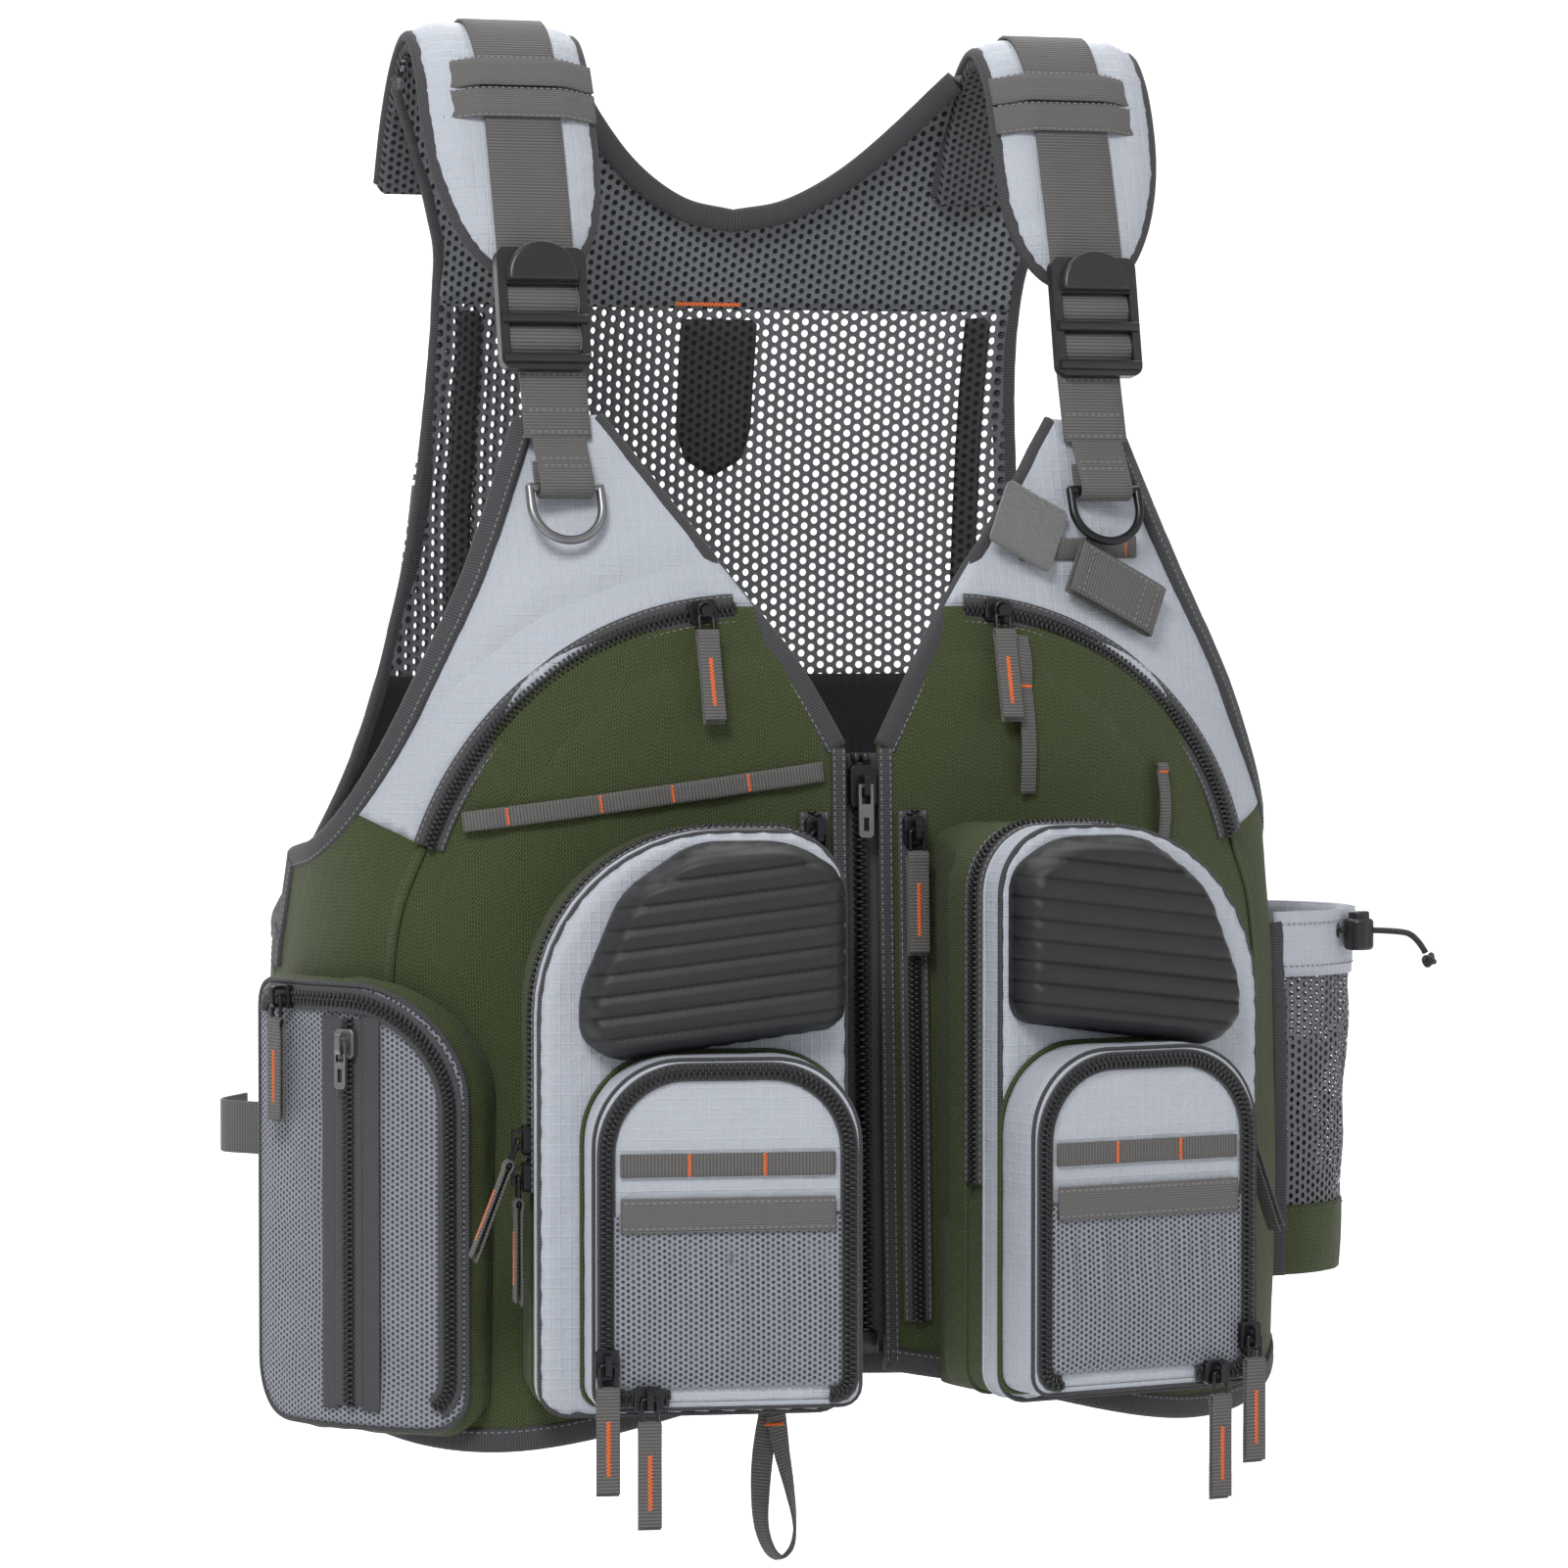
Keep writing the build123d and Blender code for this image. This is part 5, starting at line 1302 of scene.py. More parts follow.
def make_chest_zips():
    m = chest_plane()
    x, y, z = axes(m)
    path, normals = [], []
    for i in range(61):
        a = math.radians(CHEST_ARC[1] + (CHEST_ARC[0] - CHEST_ARC[1]) * i / 60)
        radial = x * math.cos(a) + y * math.sin(a)
        path.append(m.translation + radial * CHEST_RADIUS)
        normals.append(z * math.cos(CHEST_LEAN) + radial * math.sin(CHEST_LEAN))
    for side in (1, -1):
        zip_run(f"chest_zip_{side_name(side)}", path, normals, side)
        for off in (-5.8, 5.8):
            root_thread("grey_thread").run(beside(path, normals, off, 0.85), normals, side)
        low = on_cloth(WELT_LINE, 40)
        welt = [front_point(s, h, CLOTH) for s, h in low]
        ups = [normal_of(front_point, s, h) for s, h in low]
        section = [(-3.2, 0), (-2.6, 0.5), (-1, 0.75), (0.8, 1.15), (2.2, 0.7), (3.0, 0.0)]
        obj = sweep(f"panel_welt_{side_name(side)}", welt, ups, section, M["olive"], side)
        finish_piece(obj, "root", "olive_oxford")
        root_thread("olive_thread").run([p + n * 0.9 for p, n in zip(welt, ups)], ups, side)


# ---------------------------------------------------------------- webbing on the chest

def webbing_on_front(name, a, b, width, tacks):
    """A narrow strap sewn to the chest from a to b, with orange bartacks at fractions of its length."""
    count = 60
    places = [(a[0] + (b[0] - a[0]) * i / count, a[1] + (b[1] - a[1]) * i / count) for i in range(count + 1)]
    arcs = [(arc_of(abs(x), z) * (1 if x >= 0 else -1), z) for x, z in places]
    stops = [0.0] + list(tacks) + [1.0]
    path, normals = [], []
    for i, (s, z) in enumerate(arcs):
        t = i / count
        k = max(j for j in range(len(stops) - 1) if stops[j] <= t + 1e-9)
        span = stops[k + 1] - stops[k]
        belly = math.sin(math.pi * min(1, (t - stops[k]) / span)) * min(1.4, span * 9)
        path.append(body_point(s, z, PATCH_LEVEL - 0.2 + belly))
        normals.append(normal_of(body_point, s, z))
    obj = sweep(name, path, normals, strap_section(width, 1.5), M["webbing"])
    finish_piece(obj, "root", "grey_webbing")
    for t in tacks:
        i = round(t * count)
        along = (path[min(i + 1, count)] - path[max(i - 1, 0)]).normalized()
        across = along.cross(normals[i])
        root_thread("orange_thread").bartack(path[i] + normals[i] * 1.55, across, normals[i], width - 1.2)
    return obj


def make_gear_webbing():
    obj = webbing_on_front("daisy_chain_right", (-177, -351.4), (-19, -330), 9, (0.12, 0.37, 0.57, 0.79))
    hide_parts("gear_webbing")
    webbing_on_front("gear_strap_left", (79, -270), (79, -341), 8.5, (0.32,))
    webbing_on_front("gear_strap_short_left", (149, -329), (149, -367), 8.5, (0.08, 0.92))
    webbing_on_front("rod_tab_base_left", (84, -231), (144, -229), 10, (0.13, 0.9))


TAB_ANGLE = math.radians(-26)


def tab_frame(x, z, out):
    normal = Vector((0.2, -0.95, 0.24)).normalized()
    along = Vector((math.cos(TAB_ANGLE), 0, math.sin(TAB_ANGLE)))
    along = (along - normal * along.dot(normal)).normalized()
    return plane((x, front_y(x, z, out), z), along, normal)


def make_rod_tab():
    m = tab_frame(89, -220, PATCH_LEVEL + 4)
    loop = round_corners(((14.5, -13.5, -90), (14.5, 13.5, 0), (-14.5, 13.5, 90), (-14.5, -13.5, 180)), 2.5)
    flat, faces = triangulate(loop, 0.9)

    def pile(x, y):
        return 2.0 + 0.7 * wobble(x * 1.3, y * 1.3, 1.0) + 0.3 * wobble(x * 3.1, y * 3.1, 4.0)

    obj = slab("rod_tab_loop_pad", flat, faces, lambda x, y: on_frame(m, x, y, pile(x, y)),
               lambda x, y: on_frame(m, x, y, 0.2), M["fuzzy"])
    finish_piece(obj, "root", "loop_fastener", "rod_tab_patch")
    z = axes(m)[2]
    rim = [on_frame(m, x * 0.88, y * 0.88, 2.2) for x, y in resample(loop, 2, closed=True)]
    root_thread("grey_thread").run(rim + rim[:1], [z] * (len(rim) + 1))
    f = tab_frame(110, -238, PATCH_LEVEL + 4.5)
    x, y, z = axes(f)
    line = [(0.5, 0.5), (8, 0.3), (24, 0.2), (40, 0.3), (46.5, 0.9), (47.8, 2.2), (46.5, 3.5), (40, 4.1),
            (24, 4.3),
            (8, 3.9), (0.5, 3.4)]
    path = [on_frame(f, p[0], 0, p[1] - 0.8) for p in resample([tuple(q) for q in curve_points(line, 60)],
                                                               1.6)]
    steps = tangents(path)
    normals = [y.cross(t) for t in steps]
    obj = sweep("rod_tab_strap", path, normals, strap_section(25, 1.5, -0.2), M["webbing"])
    finish_piece(obj, "rod_tab_flap", "grey_webbing", "rod_tab_flap")
    sewn = Stitching("stitching_rod_tab", M["grey_thread"])
    for at in (6, 36, 43):
        sewn.run([f @ Vector((at, v, 5.0)) for v in (-11.5, 0, 11.5)], [z] * 3)
    for v in (-10.5, 10.5):
        sewn.run([f @ Vector((u, v, 5.0 - 0.3 * abs(u - 24) / 20)) for u in (3, 14, 24, 34, 44)], [z] * 5)
    sewn.make("rod_tab_flap", "grey_webbing")


# ---------------------------------------------------------------- cargo pockets

CARGO_MIDDLE, CARGO_LIMITS = 84, (-60, 75)
CARGO_TOP, CARGO_BOTTOM, CARGO_DEPTH = -353, -606, 68
CARGO_TURN = math.radians(10)
CARGO_ZIP_W = 43
CARGO_SLIDER_Z, END_SLIDER_GAP = -488, 16
SMALL_LIMITS, SMALL_TOP, SMALL_BOTTOM, SMALL_DEPTH = (-62, 56), -449, -601, 27
SMALL_FACE = CARGO_DEPTH + SMALL_DEPTH
SMALL_ZIP_INSET = 6
PLACKET_ROOM = 34.3
CARGO = plane((CARGO_MIDDLE, front_y(CARGO_MIDDLE, -480, PATCH_LEVEL), 0),
              (math.cos(CARGO_TURN), math.sin(CARGO_TURN), 0),
              (math.sin(CARGO_TURN), -math.cos(CARGO_TURN), 0))
CARGO_ACROSS, CARGO_UP, CARGO_OUT = axes(CARGO)


def rounded(x, y, radii, step=4.0):
    """A rectangle with its own corner radii, anticlockwise from its low left corner."""
    centres = ((x[0] + radii[0], y[0] + radii[0], 180), (x[1] - radii[1], y[0] + radii[1], 270),
               (x[1] - radii[2], y[1] - radii[2], 0), (x[0] + radii[3], y[1] - radii[3], 90))
    points = []
    for (cx, cy, start), r in zip(centres, radii):
        for k in range(13):
            a = math.radians(start + 7.5 * k)
            points.append((cx + r * math.cos(a), cy + r * math.sin(a)))
    return [tuple(p) for p in resample(points, step, closed=True)]


def cargo_loop(grow=0.0, step=4.0):
    inner, outer = CARGO_LIMITS
    return rounded((inner - grow, outer + grow), (CARGO_BOTTOM, CARGO_TOP + grow),
                   (12, 12, 80 + grow, 30 + grow), step)


def small_loop(inset=0.0, step=3.0):
    inner, outer = SMALL_LIMITS
    return rounded((inner + inset, outer - inset), (SMALL_BOTTOM + inset, SMALL_TOP - inset),
                   (9 - inset / 2, 9 - inset / 2, 38 - inset / 2, 38 - inset / 2), step)


def chest_depth(u, v):
    """How far back the pocket reaches at a place: the chest's own surface, in the pocket's frame."""
    w = 0.0
    for _ in range(6):
        p = CARGO @ Vector((u, v, w))
        w += (p.y - front_y(max(-230, min(230, p.x)), p.z, PATCH_LEVEL)) / math.cos(CARGO_TURN)
    return w


def outward(loop):
    """The outward direction at each place of an anticlockwise loop."""
    n = len(loop)
    out = []
    for i in range(n):
        a, b = loop[i - 1], loop[(i + 1) % n]
        d = Vector((b[1] - a[1], a[0] - b[0]))
        out.append(d.normalized())
    return out


def cargo_place(u, v, w):
    p = CARGO @ Vector((u, v, w))
    if v < CARGO_TOP and p.x < PLACKET_ROOM and p.y > -147:
        p.x = PLACKET_ROOM
    return p


def gusset(name, loop, depths, swell, material, slot, side, *nodes):
    """Cloth round a pocket's side; depths gives two ends for each place, and swell its outward bulge."""
    out = outward(loop)
    rows = []
    steps = 9
    for k in range(steps + 1):
        f = k / steps
        row = []
        for (u, v), d in zip(loop, out):
            low, high = depths(u, v)
            w = low + (high - low) * f
            pucker = 0.45 * wobble(u * 0.09, v * 0.09, w * 0.05)
            grow = swell(u, v, f) + pucker * math.sin(math.pi * f)
            row.append(cargo_place(u + d.x * grow, v + d.y * grow, w))
        rows.append(row)
    obj = grid_piece(name, rows, M[material], side, closed=True)
    return finish_piece(obj, "root", slot, *nodes)


def make_cargo(side):
    name = side_name(side)
    loop = cargo_loop()
    zip_low, zip_high = CARGO_ZIP_W - 6.5, CARGO_ZIP_W + 6.5

    def slack(u, v, f):
        quiet = ramp(abs(v - CARGO_TOP), 0, 30)
        return -0.5 + 0.9 * math.sin(math.pi * f) * quiet

    gusset(f"cargo_gusset_{name}", loop, lambda u, v: (chest_depth(u, v) - 0.5, zip_low), slack, "olive",
           "olive_oxford", side, f"cargo_pocket_{name}")
    gusset(f"cargo_zip_bed_{name}", loop, lambda u, v: (zip_low - 0.3, zip_high + 0.3), lambda u, v, f: -0.7,
           "olive",
           "olive_oxford", side)
    gusset(f"cargo_front_gusset_{name}", loop, lambda u, v: (zip_high, CARGO_DEPTH - 4.2),
           lambda u, v, f: -0.4 + 0.5 * math.sin(math.pi * f), "pale", "grey_ripstop", side)
    # the face, with its rounded rim
    tree = tree_of(resample(loop, 1.5, closed=True))

    def face(u, v):
        gap = tree.find((u, v, 0))[2]
        rim = 4.6 * (1 - math.sqrt(max(0, 1 - (1 - min(gap / 5, 1)) ** 2)))
        crease = wobble(u * 0.05, v * 0.05, 1.7 + side) * 0.8
        crease += wobble((u + v) * 0.12, (u - v) * 0.03, 8.0) * 0.4
        return cargo_place(u, v, CARGO_DEPTH - 0.5 - rim + min(0, crease) * ramp(gap, 2, 8))

    flat, faces = triangulate(cargo_loop(-0.4), 4.0)
    obj = slab(f"cargo_face_{name}", flat, faces, face, lambda u, v: face(u, v) - CARGO_OUT * 1.0, M["pale"],
               side)
    finish_piece(obj, "root", "grey_ripstop")
    piping_loop = cargo_loop(-0.6, 3.0)
    pipings = (("front", CARGO_DEPTH - 4.0, 1.5, "binding"), ("middle", zip_low - 1.2, 1.2, "olive"),
               ("outer", zip_high + 1.0, 1.0, "pale"))
    slots = {"pale": "grey_ripstop", "olive": "olive_oxford", "binding": "grey_binding"}
    for piping, w, radius, key in pipings:
        path = [cargo_place(u, v, w) for u, v in piping_loop]
        out = [CARGO_ACROSS * d.x + CARGO_UP * d.y for d in outward(piping_loop)]
        tube = sweep(f"cargo_piping_{piping}_{name}", path, out, oval(radius, radius, 60), M[key], side,
                     closed=True)
        finish_piece(tube, "root", slots[key])
    # the zip, open towards the bottom
    bottom = CARGO_SLIDER_Z - END_SLIDER_GAP - 8
    ring = cargo_loop(0.0, 2.0)
    order = open_run(ring, lambda u, v: v >= bottom)
    out = outward(ring)
    path = [cargo_place(*ring[i], CARGO_ZIP_W) for i in order]
    normals = [CARGO_ACROSS * out[i].x + CARGO_UP * out[i].y for i in order]
    zip_run(f"cargo_zip_{name}", path, normals, side)
    for off in (-6.0, 6.0):
        seam = [p + CARGO_OUT * off + n * 0.95 for p, n in zip(path, normals)]
        root_thread("grey_thread").run(seam, normals, side)


def make_small(side):
    name = side_name(side)
    loop = small_loop()
    out = outward(loop)
    rows = []
    rim = 3.4
    profile = [(0.2, -0.6), (1.2, 0.2), (6, 0.5), (12, 0.4), (18, 0.5), (SMALL_DEPTH - rim, 0.1)]
    profile += [(SMALL_DEPTH - rim + rim * math.sin(math.radians(a)), -rim * (1 - math.cos(math.radians(a))))
                for a in (20, 40, 60, 80, 90)]
    for w, grow in profile:
        row = []
        for (u, v), d in zip(loop, out):
            pucker = 0.35 * wobble(u * 0.12, v * 0.12, w * 0.2 + side) * (w < SMALL_DEPTH - rim)
            g = grow + pucker - 0.3
            row.append(CARGO @ Vector((u + d.x * g, v + d.y * g, CARGO_DEPTH + w)))
        rows.append(row)
    obj = grid_piece(f"small_gusset_{name}", rows, M["pale"], side, closed=True)
    finish_piece(obj, "root", "grey_ripstop", *once(side, "small_pockets"))
    z = CARGO_OUT
    # green piping at the root of the pocket and a bound rim on its face
    for piping, inset, w, radius, key in (("root", -0.6, CARGO_DEPTH + 0.8, 1.3, "olive"),
                                          ("rim", 0.9, SMALL_FACE - 1.3, 1.0, "binding")):
        ring = small_loop(inset, 3.0)
        path = [CARGO @ Vector((u, v, w)) for u, v in ring]
        tube = sweep(f"small_piping_{piping}_{name}", path, [z] * len(path), oval(radius, radius, 60),
                     M[key], side,
                     closed=True)
        finish_piece(tube, "root", "olive_oxford" if key == "olive" else "grey_binding")
    inner, outer = SMALL_LIMITS
    band = -516

    def top_panel(u, v):
        crease = 0.5 * wobble(u * 0.06, v * 0.05, 3.0 + side)
        return CARGO @ Vector((u, v, SMALL_FACE - 0.35 + min(0, crease)))

    def net_panel(u, v):
        low = ramp(band - 6 - v, 0, 16)
        edge = ramp(min(u - (inner + 10), outer - 10 - u, v - (SMALL_BOTTOM + 9)), 0, 9)
        gather = 0.75 * math.cos(2 * math.pi * (u + 2.5 * wobble(u * 0.06, v * 0.02, 5.0)) / 8.5)
        fade = 1 - 0.75 * ramp(band - v, 10, 60)
        sag = 2.0 * ramp(band - 12 - v, 0, 35) * edge
        fold = 1.0 * wobble(u * 0.07 + v * 0.03, v * 0.035 - u * 0.05, 2.0 + side)
        waves = (gather * fade * low + fold * low) * (0.3 + 0.7 * edge)
        return CARGO @ Vector((u, v, SMALL_FACE + 0.9 + waves + sag))

    flat, faces = triangulate(small_loop(2.6), 3.5)
    obj = slab(f"small_face_{name}", flat, faces, top_panel, lambda u, v: top_panel(u, v) - z * 0.8,
               M["pale"], side)
    finish_piece(obj, "root", "grey_ripstop")
    low_loop = [p for p in small_loop(9.4, 2.5) if p[1] < band]
    flat, faces = triangulate(low_loop, 2.2)
    obj = slab(f"small_net_{name}", flat, faces, net_panel, lambda u, v: net_panel(u, v) - z * 0.45,
               M["pocket_net"],
               side)
    finish_piece(obj, "root", "grey_net")
    flat, faces = triangulate([(inner + 10, band), (outer - 10, band), (outer - 10, SMALL_BOTTOM + 12),
                               (inner + 10, SMALL_BOTTOM + 12)], 5)
    obj = slab(f"small_net_backing_{name}", flat, faces, lambda u,
               v: CARGO @ Vector((u, v, SMALL_FACE + 0.1)),
               lambda u, v: CARGO @ Vector((u, v, SMALL_FACE - 0.25)), M["under_net"], side)
    finish_piece(obj, "root", "grey_net")
    # zip round the face
    ring = small_loop(SMALL_ZIP_INSET, 2.0)
    order = open_run(ring, lambda u, v: not (inner + 16 < u < outer - 34 and v < SMALL_BOTTOM + 14))
    path = [CARGO @ Vector((*ring[i], SMALL_FACE)) for i in order]
    zip_run(f"small_zip_{name}", path, [z] * len(path), side, tape=4.0)
    # elastic top edge of the net, and the webbing ladder
    bands = (("elastic", -516.5, 15, "elastic", 1.2), ("ladder", -495, 10, "webbing", 0.2))
    for kind, mid, width, key, low in bands:
        xs = [inner + 12.3 + (outer - inner - 24.6) * i / 40 for i in range(41)]
        path = [CARGO @ Vector((x, mid, SMALL_FACE + low)) for x in xs]
        obj = sweep(f"small_{kind}_{name}", path, [z] * len(path), strap_section(width, 1.3), M[key], side)
        finish_piece(obj, "root", "black_elastic" if kind == "elastic" else "grey_webbing",
                     *(once(side, "elastic_bands") if kind == "elastic" else []))
        if kind == "elastic":
            for off in (-5.6, 5.6):
                seam = [p + CARGO_UP * off + z * 1.35 for p in path]
                root_thread("grey_thread").run(seam, [z] * len(seam), side)
    for t in (0.33, 0.68):
        u = inner + 12 + (outer - inner - 24) * t
        root_thread("orange_thread").bartack(CARGO @ Vector((u, -495, SMALL_FACE + 1.6)), CARGO_UP, z, 9.5,
                                             side)


def make_eva(side):
    """A moulded foam cap: domed, with rounded ribs between pairs of fine grooves."""
    name = side_name(side)
    inner, outer = -EVA_HALF, EVA_HALF
    low = EVA_BOTTOM - EVA_DROP
    corners = ((inner, EVA_BOTTOM), (outer - 14, low), (outer, low + 10), (outer, low + 30),
               (outer - 18, EVA_TOP - 22),
               (outer - 50, EVA_TOP), (inner + 24, EVA_TOP), (inner, EVA_TOP - 14))
    loop = []
    for k, corner in enumerate(corners):
        c = Vector(corner)
        a, b = Vector(corners[k - 1]), Vector(corners[(k + 1) % len(corners)])
        reach = min(11, 0.42 * (a - c).length, 0.42 * (b - c).length)
        p, q = c + (a - c).normalized() * reach, c + (b - c).normalized() * reach
        for i in range(7):
            t = i / 6
            loop.append(tuple(p * (1 - t) ** 2 + c * 2 * t * (1 - t) + q * t * t))
    slope = -math.atan2(EVA_DROP, 2 * EVA_HALF)
    tree = tree_of(resample(loop, 1.2, closed=True))
    c, s = math.cos(slope), math.sin(slope)

    def height(u, v):
        gap = tree.find((u, v, 0))[2]
        edge = math.sqrt(max(0.0, 1 - (1 - min(gap / 9, 1)) ** 2))
        r = (v - EVA_BOTTOM + EVA_DROP / 2) * c - u * s
        phase = (r / RIB_PITCH) % 1.0
        rib = math.sin(math.pi * phase) ** 0.5
        dome = 1 - 0.12 * (abs(u) / EVA_HALF) ** 2
        return 2.0 + (EVA_DEPTH - 4.0) * edge * dome + (3.3 * rib - 1.2) * ramp(gap, 1.5, 6)

    flat, faces = triangulate(loop, 1.35, turn=slope, stretch=2.2)
    obj = slab(f"eva_cap_{name}", flat, faces, lambda u,
               v: CARGO @ Vector((u, v, CARGO_DEPTH + height(u, v))),
               lambda u, v: CARGO @ Vector((u, v, CARGO_DEPTH + 0.05)), M["foam"], side)
    finish_piece(obj, "root", "ribbed_foam", *once(side, "eva_shells"))


# ---------------------------------------------------------------- side pocket

SIDE_AXIS, SIDE_RADIUS, SIDE_FACING = (-133, -6), 121, math.radians(215)
SIDE_HALF, SIDE_TOP, SIDE_BOTTOM = 60, -423, -620
SIDE_ZIP_INSET = 7
SIDE_OUT = Vector((math.cos(SIDE_FACING), math.sin(SIDE_FACING), 0))


def side_place(u, v, out=0.0):
    """A place on the side pocket's curved face: u across it towards the front, out off the cloth."""
    a = SIDE_FACING + math.asin(max(-0.95, min(0.95, u / SIDE_RADIUS)))
    r = SIDE_RADIUS + out
    return Vector((SIDE_AXIS[0] + r * math.cos(a), SIDE_AXIS[1] + r * math.sin(a), v))


def side_normal(u):
    a = SIDE_FACING + math.asin(max(-0.95, min(0.95, u / SIDE_RADIUS)))
    return Vector((math.cos(a), math.sin(a), 0))


def side_loop(inset=0.0, step=3.0):
    half = SIDE_HALF - inset
    return rounded((-half, half), (SIDE_BOTTOM + inset, SIDE_TOP - inset),
                   (26 - inset / 2, 16, 52 - inset / 2, 12), step)


def in_body(p):
    half, front, back = smooth_row(p.z)
    depth = (back if p.y > 0 else front) + PATCH_LEVEL
    return (abs(p.x) / (half + PATCH_LEVEL)) ** FULLNESS + (abs(p.y) / depth) ** FULLNESS < 1


def depth_to_body(p, direction):
    """How far a place is from the body along a direction, up to 70 mm."""
    low, high = 0.0, 70
    for _ in range(12):
        middle = (low + high) / 2
        if in_body(p + direction * middle):
            high = middle
        else:
            low = middle
    return low


def make_side_pocket():
    loop = side_loop()
    out = outward(loop)
    across = Vector((-math.sin(SIDE_FACING), math.cos(SIDE_FACING), 0))
    up = Vector((0, 0, 1))
    rows = []
    for k in range(9):
        f = k / 8
        row = []
        for (u, v), d in zip(loop, out):
            p = side_place(u, v, -1.2)
            reach = depth_to_body(p, -SIDE_OUT)
            pucker = 0.8 * wobble(u * 0.08, v * 0.08, f * 2)
            grow = (0.3 + 1.6 * math.sin(math.pi * f) + pucker) * (0.2 + math.sin(math.pi * f))
            row.append(p - SIDE_OUT * reach * (1 - f) + (across * d.x + up * d.y) * grow)
        rows.append(row)
    gusset_piece = grid_piece("side_pocket_gusset", rows, M["olive"], closed=True)
    finish_piece(gusset_piece, "root", "olive_oxford", "side_pocket")
    ring = side_loop(0.4, 3.0)
    tube = sweep("side_pocket_piping", [side_place(u, v, -0.7) for u, v in ring],
                 [side_normal(u) for u, v in ring],
                 oval(1.3, 1.3, 60), M["binding"], closed=True)
    finish_piece(tube, "root", "grey_binding")

    def face(u, v):
        edge = ramp(min(SIDE_HALF - abs(u), SIDE_TOP - v, v - SIDE_BOTTOM), 10, 22)
        fold = wobble(u * 0.05, v * 0.03, 6.0) + 0.8 * wobble(u * 0.09 + v * 0.04, v * 0.05, 2.5)
        return side_place(u, v, -0.3 - 0.9 * edge + fold * edge)

    flat, faces = triangulate(side_loop(1.0), 3.4)
    obj = slab("side_pocket_net", flat, faces, face, lambda u, v: face(u, v) - side_normal(u) * 0.5,
               M["pocket_net"])
    finish_piece(obj, "root", "grey_net")
    obj = slab("side_pocket_backing", flat, faces, lambda u, v: face(u, v) - side_normal(u) * 0.9,
               lambda u, v: face(u, v) - side_normal(u) * 1.4, M["under_net"])
    finish_piece(obj, "root", "grey_net")
    ring = side_loop(SIDE_ZIP_INSET, 2.0)

    def has_zip(u, v):
        return not (u < -46 and v < SIDE_TOP - 14) and not (u < 46 and v < SIDE_BOTTOM + 14)

    order = open_run(ring, has_zip)
    path = [side_place(ring[i][0], ring[i][1], 0.2) for i in order]
    zip_run("side_zip", path, [side_normal(ring[i][0]) for i in order], tape=5.5)
    inner_u = SIDE_RADIUS * math.sin(math.radians(3))
    path = [side_place(inner_u, v, 0.9) for v in range(-438, -613, -4)]
    ups = [side_normal(inner_u)] * len(path)
    zip_run("side_inner_zip", path, ups)
    for off in (-11, 11):
        facing = [side_place(inner_u + off, v, 0.5) for v in range(-437, -613, -5)]
        band = sweep(f"side_inner_facing_{'a' if off < 0 else 'b'}", facing,
                     [side_normal(inner_u + off)] * len(facing),
                     strap_section(9, 0.9), M["tape"])
        finish_piece(band, "root", "grey_binding")


# ---------------------------------------------------------------- bottle pocket

BOTTLE_CENTRE, BOTTLE_SIZE, BOTTLE_TAPER = (236, 2), (55, 53), 0.88
BOTTLE_TOP, BOTTLE_BOTTOM, BOTTLE_NET_BOTTOM = -401, -574, -545


def bottle_place(a, z, grow=0.0):
    up = (z - BOTTLE_BOTTOM) / (BOTTLE_TOP - BOTTLE_BOTTOM)
    taper = BOTTLE_TAPER + (1 - BOTTLE_TAPER) * up
    return Vector((BOTTLE_CENTRE[0] + (BOTTLE_SIZE[0] * taper + grow) * math.cos(a),
                   BOTTLE_CENTRE[1] + (BOTTLE_SIZE[1] * taper + grow) * math.sin(a), z))


def bottle_ends(z):
    """The two angles at which the pocket's wall meets the vest."""
    free = [math.radians(k) for k in range(-140, 141) if not in_body(bottle_place(math.radians(k), z))]
    return min(free), max(free)


def bottle_row(z, grow, folds=0.0):
    """Places round the bottle pocket at a height, from one end of its wall to the other."""
    low, high = bottle_ends(z)
    count = 72
    row = []
    for i in range(count + 1):
        a = low + (high - low) * i / count
        crease = folds * (wobble(a * 4, z * 0.03, 3) + 0.5 * wobble(a * 9, z * 0.05, 8))
        row.append(bottle_place(a, z, grow + crease * math.sin(math.pi * i / count)))
    return row


def bottle_wall(name, z_low, z_high, grow, thickness, material, slot, folds, *nodes):
    """A wall of cloth round the pocket, with an inner and an outer face."""
    steps = max(2, round((z_high - z_low) / 5))
    heights = [z_low + (z_high - z_low) * k / steps for k in range(steps + 1)]
    outer = [bottle_row(z, grow, folds=folds) for z in heights]
    inner = [bottle_row(z, grow - thickness, folds=folds) for z in heights]
    rows = [a + b[::-1] for a, b in zip(outer, inner)]
    obj = grid_piece(name, rows, material, closed=True, caps=True)
    return finish_piece(obj, "root", slot, *nodes)


